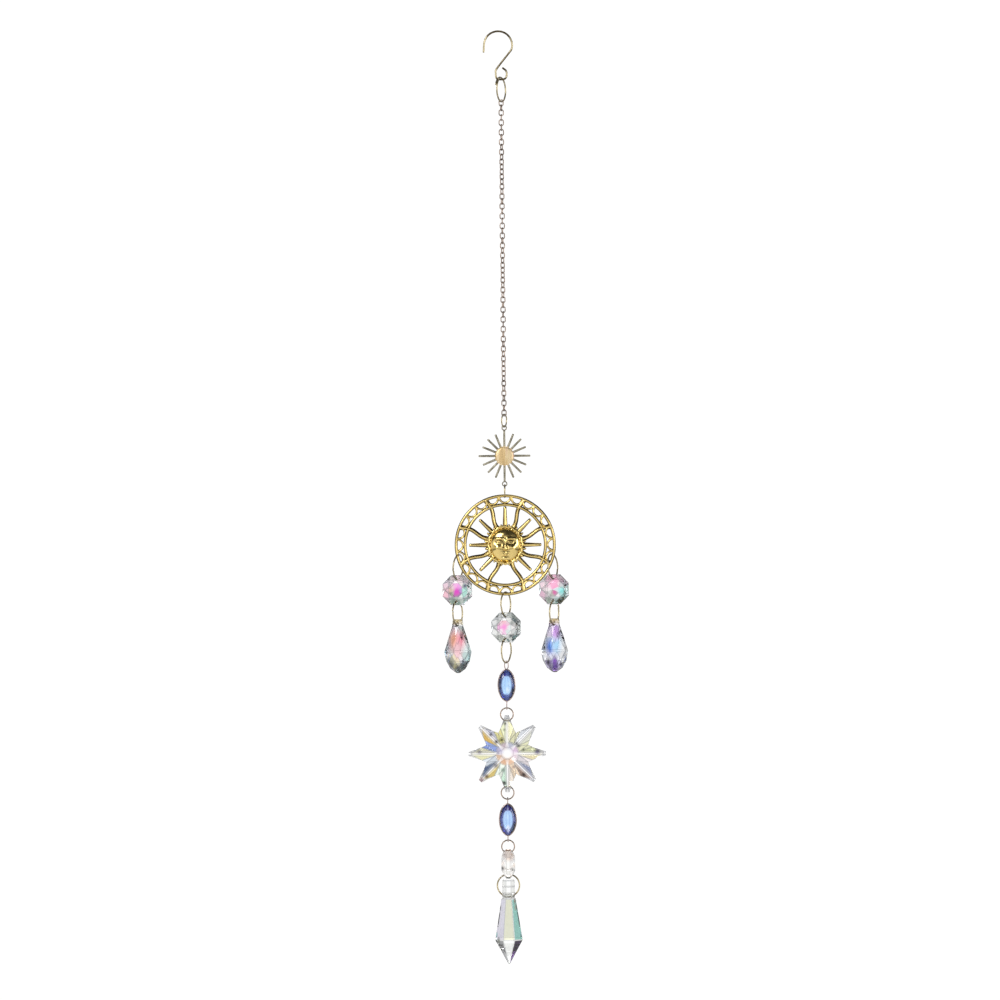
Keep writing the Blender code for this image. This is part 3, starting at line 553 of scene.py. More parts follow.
def make_chain():
    """The chain: fine oval links, each at right angles to the next, in a slow twist."""
    metal = bpy.context.scene.suncatcher_metal
    middle, size = node_box("chain")
    wire = metal.link_wire
    pitch = (size.z - 2 * wire) / metal.link_count
    path = link_path(pitch + wire, metal.link_width - wire)
    top = middle.z + size.z / 2 - pitch / 2 - wire
    body = bmesh.new()
    for index in range(metal.link_count):
        link = bmesh.new()
        sweep(link, path, round_profile(wire, sides=8), closed=True)
        sway = math.radians(LINK_SWAY * waver(index, 1.7, 0.3, 0.9))
        turn = index % 2 * math.pi / 2 + (index - LINK_SQUARE_ON) * LINK_TWIST + sway
        place = Vector((middle.x, middle.y, top - index * pitch))
        lean = math.radians(LINK_LEAN * waver(index, 2.3, 4.1, 0.2))
        pose = Matrix.Translation(place) @ Matrix.Rotation(lean, 4, "Y") @ Matrix.Rotation(turn, 4, "Z")
        bmesh.ops.transform(link, matrix=pose, verts=link.verts)
        mesh = bpy.data.meshes.new("link")
        link.to_mesh(mesh)
        link.free()
        body.from_mesh(mesh)
        bpy.data.meshes.remove(mesh)
    material = plated_metal("chain metal", metal.chain_colour, 0.45, 0.4, cavity=0.55)
    return piece_from(body, "fine_chain", material, ["chain"])


# Sun charm


CHARM_RAYS = 16


def polar(radius, angle, aside=0.0, y=0.0):
    """A point at an angle clockwise from the top, moved aside from that line and back to a depth."""
    return Vector((radius * math.sin(angle) + aside * math.cos(angle), y,
                   radius * math.cos(angle) - aside * math.sin(angle)))


def bar_profile(width, depth, crown=0.3):
    """A flat bar's section with rubbed corners and a low ridge along its front."""
    half, thick = width / 2, depth / 2
    return [(half, -thick * 0.55), (half * 0.8, -thick * 0.9), (0.0, -thick * (1 + crown)),
            (-half * 0.8, -thick * 0.9), (-half, -thick * 0.55), (-half, thick * 0.6), (-half * 0.75, thick),
            (half * 0.75, thick), (half, thick * 0.6)]


def make_charm():
    """The flat sun charm: a domed disc, sixteen rays and two eyes, cut from brushed sheet."""
    metal = bpy.context.scene.suncatcher_metal
    middle, size = node_box("sun_charm")
    thickness = 0.7 * MM
    ray_width, ray_tip = 1.12 * MM, 0.22 * MM
    eye_radius, eye_wire = 1.0 * MM, 0.55 * MM
    eye_reach = size.z / 2 - eye_radius - eye_wire / 2
    disc_radius, disc_rise = 4.25 * MM, 0.95 * MM
    start = disc_radius * 0.6
    long_ray, short_ray, unevenness = 11.2 * MM, 10.4 * MM, 0.35 * MM
    steps = 8
    body = bmesh.new()
    for index, angle in enumerate(circle_angles(CHARM_RAYS)):
        upright = index % (CHARM_RAYS // 2) == 0
        reach = long_ray if index % (CHARM_RAYS // 4) == 0 else short_ray
        reach += unevenness * waver(index, 1.9, 2.0, 0.4)
        if upright:
            reach = eye_reach - eye_radius
        path = [middle + polar(start + (reach - start) * step / steps, angle) for step in range(steps + 1)]
        scales = [(1.0 - 0.18 * step / steps, 1.0) for step in range(steps + 1)]
        if not upright:
            blunt_tip(path, scales, ray_tip, (0.45, 0.6))
        sweep(body, path, bar_profile(ray_width, thickness), scales=scales)
        if upright:
            eye = [middle + polar(eye_reach, angle) + place
                   for place in arc((0, 0, 0), eye_radius, 0, math.tau, 32)[:-1]]
            sweep(body, eye, round_profile(eye_wire, thickness * 0.95, 10), closed=True)
    disc_face(body, middle, disc_radius, disc_rise)
    material = brushed_metal("charm metal", metal.charm_colour, middle, disc_radius)
    return piece_from(body, "sun_charm_sheet", material, ["sun_charm"])


def blunt_tip(path, scales, reach, end_scale):
    """Ends a ray in a short, narrowed step."""
    path.append(path[-1] + (path[-1] - path[-2]).normalized() * reach)
    scales.append(end_scale)


def disc_face(body, middle, radius, rise, rings=9, sides=72):
    """A low dome on both sides of the charm with a pressed edge and a hand-filed outline."""
    filed, edge_rise = 0.012, 0.28 * MM
    outlines = []
    for side in (-1, 1):
        rows = []
        for ring in range(1, rings + 1):
            share = ring / rings
            dome = rise * (0.72 + 0.28 * (1 - share ** 2)) * (1 - smoothstep(share, 0.86, 1.0))
            row = []
            for angle in circle_angles(sides):
                reach = radius * share * (1 + filed * math.cos(CHARM_RAYS * angle) * share)
                row.append(body.verts.new(middle + Vector((reach * math.cos(angle), side * max(dome, edge_rise),
                                                           reach * math.sin(angle)))))
            rows.append(row)
        fan(body, body.verts.new(middle + Vector((0, side * rise, 0))), rows[0])
        for inner, outer in zip(rows, rows[1:]):
            strip(body, inner, outer)
        outlines.append(rows[-1])
    strip(body, *outlines)


def brushed_metal(name, colour, middle, disc_radius):
    """Brushed sheet: orange-gold in the middle, greyer on the rays, with fine upright brush marks."""
    make = Finish(name)
    make.set("Metallic", 1.0)
    place = make.add("ShaderNodeTexCoord")
    away = make.add("ShaderNodeVectorMath", operation="DISTANCE")
    away.inputs[1].default_value = middle
    make.join(place.outputs["Object"], away.inputs[0])
    on_disc = make.fit(away.outputs["Value"], disc_radius * 0.98, disc_radius * 1.08, 0.0, 1.0)
    streaks = make.noise(80.0, 2.0, 0.5, (5.0, 1.0, 0.5))
    gold = make.ramp(streaks, ((0.36, darker(colour, 0.62)), (0.46, tuple(colour)), (0.54, (0.97, 0.80, 0.50)),
                               (0.64, (0.90, 0.62, 0.44))))
    grey = make.ramp(make.noise(300.0, 3.0), ((0.35, (0.26, 0.24, 0.18)), (0.65, (0.50, 0.46, 0.36))))
    tone = make.mix(on_disc, gold, grey)
    edge = make.add("ShaderNodeNewGeometry").outputs["Pointiness"]
    hollow = make.ramp(edge, ((0.42, (0.45,) * 3), (0.5, (0.95,) * 3), (0.6, (1.0,) * 3)))
    make.join(make.mix(1.0, tone, hollow, "MULTIPLY"), make.shader.inputs["Base Color"])
    make.join(make.fit(streaks, 0.3, 0.7, 0.42, 0.6), make.shader.inputs["Roughness"])
    make.bump(streaks, 0.1, 0.03 * MM)
    return make.material


# Sun medallion


RIM_STEPS = 180
ARCH_STEPS = 14
WAVY_STEPS = 32
SPIKE_STEPS = 10
LEAF_STEPS = 6
# Where the rays start, hidden below the face's edge
BOSS_RADIUS = 7.9 * MM
# The straight rays stop short of the inner rim, the top one closer to it
SPIKE_GAP, TOP_SPIKE_GAP = 1.5 * MM, 0.5 * MM
# Half the arc that an arch spans, and of a wavy ray the swing to each side and the waves along it
ARCH_LEAN = math.pi / 2 * 1.08
RAY_SWING, RAY_WAVES = 0.62 * MM, 1.1
LEAF_START, LEAF_REACH = 6.6 * MM, 9.6
# The dark colour of the casting's patina and painted shade
CAST_PATINA_AND_SHADE = (0.06, 0.043, 0.015)


def rim_profile(width, depth):
    """A rim's section: a rounded bead with sloping flanks, flat behind."""
    half, thick = width / 2, depth / 2
    front = [(1.0, -0.3), (0.84, -0.55), (0.6, -0.82), (0.3, -1.0), (0.0, -0.98), (-0.3, -1.0),
             (-0.6, -0.82), (-0.84, -0.55), (-1.0, -0.3)]
    back = [(-1.0, 0.6), (-0.8, 0.95), (0.8, 0.95), (1.0, 0.6)]
    return [(across * half, rise * thick) for across, rise in front + back]


def ray_profile(width, depth):
    """A wavy ray's section: a raised bead with hollow flanks, flat behind."""
    half, thick = width / 2, depth / 2
    front = [(1.0, -0.3), (0.8, -0.36), (0.6, -0.42), (0.44, -0.78), (0.2, -1.0), (0.0, -1.04),
             (-0.2, -1.0), (-0.44, -0.78), (-0.6, -0.42), (-0.8, -0.36), (-1.0, -0.3)]
    back = [(-1.0, 0.6), (-0.7, 0.95), (0.7, 0.95), (1.0, 0.6)]
    return [(across * half, rise * thick) for across, rise in front + back]


def spike_profile(width, depth):
    """A straight ray's section: a sharp ridge, flat behind."""
    half, thick = width / 2, depth / 2
    return [(across * half, rise * thick)
            for across, rise in ((1.0, -0.2), (0.55, -0.62), (0.0, -1.1), (-0.55, -0.62), (-1.0, -0.2),
                                 (-1.0, 0.5), (-0.7, 0.9), (0.7, 0.9), (1.0, 0.5))]


# Patina in hollows and painted shade on flanks, edges and back, per corner of a section, in the order of its
# profile
RIM_SHADES = (1.0, 1.0, 0.75, 0.0, 0.0, 0.0, 0.75, 1.0, 1.0, 0.9, 0.2, 0.2, 0.9)
RAY_SHADES = (0.9, 0.8, 0.7, 0.15, 0.0, 0.0, 0.0, 0.4, 1.0, 1.0, 1.0, 0.9, 0.2, 0.2, 0.9)
SPIKE_SHADES = (1.0, 0.55, 0.0, 0.35, 0.9, 0.9, 0.2, 0.2, 0.9)
ARCH_SHADES = (0.9, 0.75, 0.75, 0.9, 0.9, 0.85, 0.3, 0.0, 0.0, 0.4)
FACE_EDGE_SHADES = (0.6, 0.6, 0.6, 0.6, 0.6, 0.6, 0.7, 0.2, 0.0, 0.0, 0.3, 0.8)


def medallion_radii():
    """Radii from outside in: the rim's edge and inside, then the inner rim's edge and inside."""
    medal = bpy.context.scene.suncatcher_medallion
    radius = node_box("sun_medallion")[1].x / 2
    inside = radius - medal.rim_width
    band = inside - medal.arch_rise - medal.arch_wire
    return radius, inside, band, band - medal.inner_rim_width


def cast_rims(body, middle, medal):
    """The outer and the inner rim."""
    radius, _, band, _ = medallion_radii()
    for outer, width, depth in ((radius, medal.rim_width * 1.45, medal.thickness),
                                (band + 0.15 * MM, medal.inner_rim_width * 1.25, medal.thickness * 0.92)):
        path = [middle + polar(outer - width / 2, -angle) for angle in circle_angles(RIM_STEPS)]
        sweep(body, path, rim_profile(width, depth), closed=True, shades=RIM_SHADES)


def cast_arches(body, middle, medal):
    """The band of arches, whose feet stand on the outer rim."""
    inside = medallion_radii()[1]
    half_width = inside * math.pi / medal.arch_count - 0.6 * MM + medal.arch_wire / 2
    rise = medal.arch_rise + medal.arch_wire / 2
    profile = round_profile(medal.arch_wire * 1.35, medal.thickness * 0.8, 10)
    leans = [-ARCH_LEAN + 2 * ARCH_LEAN * step / ARCH_STEPS for step in range(ARCH_STEPS + 1)]
    scales = [(1.25 - 0.3 * abs(math.cos(lean)), 1.0) for lean in leans]
    for angle in circle_angles(medal.arch_count):
        path = [middle + polar(inside - rise * math.cos(lean), angle, half_width * math.sin(lean))
                for lean in leans]
        sweep(body, path, profile, scales=scales, shades=ARCH_SHADES)


def cast_wavy_rays(body, middle, medal):
    """The wavy rays from the face to the outer rim, mirrored left and right."""
    start = BOSS_RADIUS - 1.2 * MM
    reach = medallion_radii()[1] - BOSS_RADIUS + 1.5 * MM
    shares = [step / WAVY_STEPS for step in range(WAVY_STEPS + 1)]
    scales = [(1.18 - 0.3 * smoothstep(share, 0.0, 0.3) + 0.25 * smoothstep(share, 0.75, 1.0), 1.0)
              for share in shares]
    for index in range(medal.wavy_rays):
        angle = (index + 0.5) * math.tau / medal.wavy_rays
        hand = 1 if math.sin(angle) > 0 else -1
        path = [middle + polar(start + share * reach, angle,
                               hand * RAY_SWING * math.sin(math.tau * RAY_WAVES * share)) for share in shares]
        sweep(body, path, ray_profile(2.15 * MM, medal.thickness * 1.02), scales=scales, shades=RAY_SHADES)


def cast_spikes(body, middle, medal):
    """The straight rays between the wavy ones, none of them at the bottom."""
    cell = medallion_radii()[3]
    start = BOSS_RADIUS - 1.5 * MM
    shares = [step / SPIKE_STEPS for step in range(SPIKE_STEPS + 1)]
    for index, angle in enumerate(circle_angles(medal.wavy_rays)):
        if index == medal.wavy_rays // 2:
            continue
        reach = cell - (TOP_SPIKE_GAP if index == 0 else SPIKE_GAP)
        path = [middle + polar(start + (reach - start) * share, angle) for share in shares]
        scales = [(1.0 - 0.4 * share, 1.0 - 0.3 * share) for share in shares]
        blunt_tip(path, scales, 0.28 * MM, (0.34, 0.45))
        sweep(body, path, spike_profile(2.35 * MM, medal.thickness), scales=scales, shades=SPIKE_SHADES)


def cast_leaves(body, middle, medal):
    """The small leaves that stand out all round the face."""
    leaves = 2 * medal.wavy_rays
    shares = [step / LEAF_STEPS for step in range(LEAF_STEPS + 1)]
    scales = [(1.0 - 0.78 * share ** 1.6, 1.0 - 0.4 * share) for share in shares]
    for index in range(leaves):
        angle = (index + 0.5) * math.tau / leaves
        reach = (LEAF_REACH + 0.5 * waver(index, 1.3, 0.7, 2.1)) * MM
        path = [middle + polar(LEAF_START + (reach - LEAF_START) * share, angle) for share in shares]
        sweep(body, path, spike_profile(2.3 * MM, 2.3 * MM), scales=scales, shades=SPIKE_SHADES)


def cast_face_edge(body, middle, medal):
    """The raised oval edge round the face, a little scalloped."""
    oval = []
    for turn in circle_angles(192):
        swell = 0.53 + 0.012 * math.cos(2 * medal.wavy_rays * turn)
        oval.append(middle + Vector((-swell * medal.face_width * math.sin(turn), -0.25 * MM,
                                     swell * medal.face_height * math.cos(turn))))
    sweep(body, oval, round_profile(1.4 * MM, 2.4 * MM, 12), closed=True, shades=FACE_EDGE_SHADES)


def make_medallion():
    """The cast sun medallion: two rims, a band of arches, wavy and straight rays, and a sun's face."""
    metal, medal = bpy.context.scene.suncatcher_metal, bpy.context.scene.suncatcher_medallion
    middle, _ = node_box("sun_medallion")
    middle = Vector((middle.x, 0.0, middle.z))
    body = bmesh.new()
    body.verts.layers.float.new("patina_and_painted_shade")
    for cast in (cast_rims, cast_arches, cast_wavy_rays, cast_spikes, cast_leaves, cast_face_edge):
        cast(body, middle, medal)
    sun_face(body, middle, medal.face_width, medal.face_height)
    material = plated_metal("cast gold", metal.cast_colour, 0.75, 0.2, 520.0, cavity=0.7, patina_and_painted_shade=CAST_PATINA_AND_SHADE)
    return piece_from(body, "sun_medallion_casting", material, ["sun_medallion"])


def hill(value, middle, spread):
    """A smooth hill of height one."""
    return math.exp(-((value - middle) / spread) ** 2)


def face_relief(across, up):
    """Height of a calm, even face's features in millimetres, from shares of its half width and half height.

    Each feature is a hill or a hollow: its height, then its place and its spread across or up.
    """
    wide = abs(across)
    forehead = 0.35 * hill(wide, 0.0, 0.45) * hill(up, 0.62, 0.25)
    brow_line = 0.37 - 0.35 * (wide - 0.36) ** 2
    brow = 0.5 * hill(up, brow_line, 0.06) * smoothstep(wide, 0.04, 0.16) * (1 - smoothstep(wide, 0.58, 0.74))
    socket = -0.85 * hill(wide, 0.36, 0.22) * hill(up, 0.17, 0.12)
    ball = 0.75 * max(0.0, 1 - ((wide - 0.37) / 0.2) ** 2 - ((up - 0.16) / 0.1) ** 2) ** 0.5
    lid_end = 1 - smoothstep(abs(wide - 0.37), 0.17, 0.23)
    lid = -0.28 * hill(up, 0.125 + 0.6 * (wide - 0.37) ** 2, 0.018) * lid_end
    bridge = smoothstep(up, 0.42, 0.2) if up > 0.2 else 1.0
    ridge = 0.42 + 0.85 * smoothstep(0.25 - up, 0.0, 0.46)
    nose_end = smoothstep(up, -0.34, -0.24)
    nose = ridge * hill(wide, 0.0, 0.085 + 0.05 * smoothstep(0.2 - up, 0.0, 0.4)) * bridge * nose_end
    wing = 0.38 * hill(wide, 0.13, 0.055) * hill(up, -0.22, 0.07)
    cheek = 0.55 * hill(wide, 0.5, 0.22) * hill(up, -0.2, 0.2)
    mouth_end = 1 - smoothstep(wide, 0.2, 0.32)
    upper_lip = 0.42 * hill(up, -0.445 - 0.03 * hill(wide, 0.0, 0.05), 0.045) * mouth_end
    lower_lip = 0.46 * hill(up, -0.56, 0.05) * (1 - smoothstep(wide, 0.14, 0.28))
    parting = -0.34 * hill(up, -0.498 + 0.05 * smoothstep(wide, 0.12, 0.3), 0.018) * mouth_end
    under = -0.25 * hill(wide, 0.0, 0.22) * hill(up, -0.66, 0.05)
    chin = 0.55 * hill(wide, 0.0, 0.22) * hill(up, -0.8, 0.11)
    return (forehead + brow + socket + ball + lid + nose + wing + cheek + upper_lip + lower_lip + parting
            + under + chin)


def sun_face(body, middle, width, height, steps=152):
    """The domed face: features on the front of a flattened ball, a low bulge behind."""
    dome_rise, rim_depth, back_depth = 3.1, 0.75 * MM, 0.85 * MM
    patina_and_painted_shade = body.verts.layers.float["patina_and_painted_shade"]
    rows = []
    for ring in range(1, steps // 4 + 1):
        share = math.sin(ring / (steps // 4) * math.pi / 2)
        dome = dome_rise * math.sqrt(max(0.0, 1 - share ** 2))
        row = []
        for angle in circle_angles(steps):
            across, up = share * math.cos(angle), share * math.sin(angle)
            relief = face_relief(across, up)
            lift = relief * (1 - smoothstep(share, 0.86, 1.0))
            row.append(body.verts.new(middle + Vector((across * width / 2, -(dome + lift) * MM,
                                                       up * height / 2))))
            # Patina in the face's hollows, painted shade round its edge where the dome turns away
            row[-1][patina_and_painted_shade] = 0.8 * smoothstep(-relief, 0.05, 0.4) + 0.8 * smoothstep(share, 0.9, 1.0)
        rows.append(row)
    rear = [body.verts.new(vert.co + Vector((0, rim_depth, 0))) for vert in rows[-1]]
    rows.append(rear)
    fan(body, body.verts.new(middle - Vector((0, (dome_rise + face_relief(0.0, 0.0)) * MM, 0))), rows[0])
    for inner, outer in zip(rows, rows[1:]):
        strip(body, inner, outer)
    fan(body, body.verts.new(middle + Vector((0, back_depth, 0))), rear)


# Cut glass


GLASS_SIDES = 8
FACET_EDGE = 0.09 * MM
# Longest edge over which a tint may change
TINT_STEP = 0.75 * MM
# How squarely a facet has to face front or back to be a table or a ridge, or sideways to be on the girdle
TABLE_FACING, GIRDLE_FACING = 0.9, 0.25
# A grey and a black for painted shade, and a near white for painted highlights and clear places
SHADE_GREY = (0.42, 0.45, 0.42)
WHITE = (0.97, 0.98, 0.98)
BLACK = (0.01, 0.01, 0.01)


def blend(colour, spot, facing, tints_and_painted_light, soft=False):
    """A tint changed by the tints near a spot: coating colours, painted reflections, painted highlights and
    painted shade.

    Each is its place across and up in shares of half the piece, its side (1 front, -1 back, 0 both), its
    reach and its tint.
    """
    inner, outer = (0.2, 1.15) if soft else (0.6, 1.05)
    for across, up, side, reach, tint in tints_and_painted_light:
        away = math.hypot(spot.x - across, spot.y - up)
        share = 1 - smoothstep(away, reach * inner, reach * outer)
        if side:
            share *= smoothstep(side * facing, 0.0, 0.25)
        deep = 2.0 if side else 1.15
        colour = colour.lerp(Vector([channel ** deep for channel in tint]), share)
    return colour


def refine(body, longest):
    """Splits long edges, so that a tint can change across a facet."""
    bmesh.ops.triangulate(body, faces=body.faces)
    for _ in range(6):
        long_edges = [edge for edge in body.edges if edge.calc_length() > longest]
        if not long_edges:
            break
        bmesh.ops.subdivide_edges(body, edges=long_edges, cuts=1)
        bmesh.ops.triangulate(body, faces=body.faces)


def mean_width(face):
    """A face's width across its length."""
    return 2 * face.calc_area() / face.calc_perimeter()


def flat_inside(face):
    """Whether a face lies flush with one beside it, as a table's wedges do."""
    return any(edge.calc_face_angle(1.0) < 0.001 for edge in face.edges)


def paint_glass(body, centre, size, look):
    """Tints a glass body: facets with tints and painted light, borders and edges in painted shade, the girdle,
    then soft spots.
    """
    glass_tint_and_painted_light = body.loops.layers.float_color.new("glass_tint_and_painted_light")
    painted_shade_border = body.faces.layers.int.new("painted_shade_border")
    width, shade = look["painted_shade_border"]
    # A table is split into flush wedges, so that each can carry its own painted reflection of the facets
    # behind.
    tables = [face for face in body.faces
              if len(face.verts) == GLASS_SIDES and abs(face.normal.y) > TABLE_FACING]
    bmesh.ops.poke(body, faces=tables)
    # Wide facets get an inset border along their edges, which is darkened as painted shade.
    wide = [face for face in body.faces if len(face.verts) < 9 and mean_width(face) > 2.2 * width
            and not flat_inside(face)]
    for face in bmesh.ops.inset_individual(body, faces=wide, thickness=width, use_even_offset=True)["faces"]:
        face[painted_shade_border] = 1

    def spot_of(place):
        away = place - centre
        return Vector((away.x / size.x, away.z / size.z)) * 2

    body.normal_update()
    for face in body.faces:
        spot = spot_of(face.calc_center_median())
        colour = blend(Vector(look["ground"]), spot, -face.normal.y, look["tints_and_painted_light"])
        # Faces on the girdle take the girdle's tint, painted shade on most pieces.
        if abs(face.normal.y) < GIRDLE_FACING:
            colour = Vector(look["girdle"])
        # Facet borders are darkened: painted shade.
        if face[painted_shade_border]:
            colour = colour * shade
        # Polished edge strips take the line tint, painted shade on most pieces.
        elif mean_width(face) < 2.1 * FACET_EDGE:
            colour = Vector(look["line"])
        elif look["ridge"] and len(face.verts) == 4 and abs(face.normal.y) > TABLE_FACING:
            colour = Vector(look["ridge"])
        for loop in face.loops:
            loop[glass_tint_and_painted_light] = (*colour, 1.0)
    refine(body, TINT_STEP)
    body.normal_update()
    for face in body.faces:
        for loop in face.loops:
            spot = spot_of(loop.vert.co)
            colour = blend(Vector(loop[glass_tint_and_painted_light][:3]), spot, -face.normal.y, look["soft_tints_and_painted_light"], soft=True)
            loop[glass_tint_and_painted_light] = (*colour, 1.0)


# A side's distance from the middle, as a share of a corner's
CORNER_SHARE = math.cos(math.pi / GLASS_SIDES)


def section_angles(half_step):
    """Directions of a section's corners, which lie half a step round where half_step is one."""
    step = math.tau / GLASS_SIDES
    return [(index + 0.5 + half_step * 0.5) * step for index in range(GLASS_SIDES)]


def loft(body, sections):
    """Facets through rings of corners; rings half a step apart are joined by triangles."""
    rows = [[body.verts.new(corner) for corner in corners] for corners, _ in sections]
    for index in range(len(rows) - 1):
        upper, lower = rows[index], rows[index + 1]
        half_step = sections[index + 1][1] - sections[index][1]
        if half_step == 0:
            strip(body, upper, lower)
            continue
        for corner in range(len(upper)):
            after = (corner + 1) % len(upper)
            if half_step > 0:
                body.faces.new((upper[corner], upper[after], lower[corner]))
                body.faces.new((upper[after], lower[after], lower[corner]))
            else:
                body.faces.new((lower[corner], lower[after], upper[corner]))
                body.faces.new((lower[after], upper[after], upper[corner]))
    body.faces.new(rows[0][::-1])
    body.faces.new(rows[-1])


def polish_edges(body, width=FACET_EDGE):
    """Takes a narrow polished strip off every edge between facets."""
    bmesh.ops.recalc_face_normals(body, faces=body.faces)
    sharp = [edge for edge in body.edges if edge.calc_face_angle(0.0) > math.radians(6)]
    bmesh.ops.bevel(body, geom=sharp, offset=width, segments=1, profile=0.5, affect="EDGES")


def drill(body, bores, diameter, length, along):
    """Bores straight holes through a body, along X or along Y; returns the drilled body."""
    tool = bmesh.new()
    lay = Matrix.Rotation(math.pi / 2, 4, "Y" if along == "X" else "X")
    for place in bores:
        bmesh.ops.create_cone(tool, cap_ends=True, segments=HOLE_SIDES, radius1=diameter / 2,
                              radius2=diameter / 2, depth=length, matrix=Matrix.Translation(place) @ lay)
    items = []
    for source in (body, tool):
        mesh = bpy.data.meshes.new("blank")
        source.to_mesh(mesh)
        source.free()
        item = bpy.data.objects.new("blank", mesh)
        bpy.context.scene.collection.objects.link(item)
        items.append(item)
    cut = items[0].modifiers.new("Holes", "BOOLEAN")
    cut.operation, cut.solver, cut.object = "DIFFERENCE", "EXACT", items[1]
    graph = bpy.context.evaluated_depsgraph_get()
    drilled = bmesh.new()
    drilled.from_mesh(items[0].evaluated_get(graph).to_mesh())
    for item in items:
        mesh = item.data
        bpy.data.objects.remove(item, do_unlink=True)
        bpy.data.meshes.remove(mesh)
    return drilled


def glass_piece(body, name, material, node, turn, look):
    """Places a glass body at its node, turned about the upright, and tints it."""
    middle, _ = node_box(node)
    corners = [[vert.co[axis] for vert in body.verts] for axis in range(3)]
    whole = Vector([max(values) - min(values) for values in corners])
    bmesh.ops.transform(body, matrix=Matrix.Translation(middle) @ Matrix.Rotation(turn, 4, "Z"),
                        verts=body.verts)
    paint_glass(body, middle, whole, look)
    return piece_from(body, name, material, [node], smooth=False)


def bead_body():
    """An octagon bead: a table, stars, kites and girdle facets on both sides, and two holes."""
    glass = bpy.context.scene.suncatcher_glass
    _, size = node_box("turned_octagon_bead")
    thickness, width = size.x, size.z
    girdle, hole_inset = 1.6 * MM, 1.7 * MM
    share = 0.35
    table = glass.bead_table / 2 / CORNER_SHARE
    edge = width / 2 / CORNER_SHARE
    star_radius = (table + share * (edge - table)) / CORNER_SHARE
    body = bmesh.new()
    edges = []
    for side in (-1, 1):
        table_y, edge_y = side * thickness / 2, side * girdle / 2
        star_y = table_y + share * (edge_y - table_y)

        def ring(radius, y, half_step):
            return [body.verts.new((radius * math.cos(a), y, radius * math.sin(a)))
                    for a in section_angles(half_step)]

        tables, stars, corners = ring(table, table_y, 0), ring(star_radius, star_y, 1), ring(edge, edge_y, 0)
        body.faces.new(tables)
        for index in range(GLASS_SIDES):
            after = (index + 1) % GLASS_SIDES
            body.faces.new((tables[index], tables[after], stars[index]))
            body.faces.new((stars[index], corners[after], corners[index]))
            body.faces.new((tables[after], stars[index], corners[after], stars[after]))
        edges.append(corners)
    strip(body, *edges)
    polish_edges(body)
    reach = width / 2 - hole_inset
    return drill(body, [(0, 0, reach), (0, 0, -reach)], glass.bead_hole, 2 * thickness, "Y")


BEAD_TURN = math.radians(-17)


def wheel(across, radius, side, reach, first, *tints):
    """Tints and painted light set evenly round a circle, clockwise from an angle in degrees."""
    angles = [math.radians(first + 360 * index / len(tints)) for index in range(len(tints))]
    return tuple((across + radius * math.sin(angle), radius * math.cos(angle), side, reach, tint)
                 for angle, tint in zip(angles, tints))


def glass_look(ground, tints_and_painted_light=(), soft_tints_and_painted_light=(), line=(0.24, 0.25, 0.28), girdle=SHADE_GREY, ridge=None,
               painted_shade_border=(0.12 * MM, 0.78)):
    """The tints of one glass piece, with painted reflections, highlights and shade; its edge strips, girdle and
    facet borders are mostly painted shade.
    """
    return {"ground": ground, "tints_and_painted_light": tints_and_painted_light, "soft_tints_and_painted_light": soft_tints_and_painted_light, "line": line, "girdle": girdle,
            "ridge": ridge, "painted_shade_border": painted_shade_border}


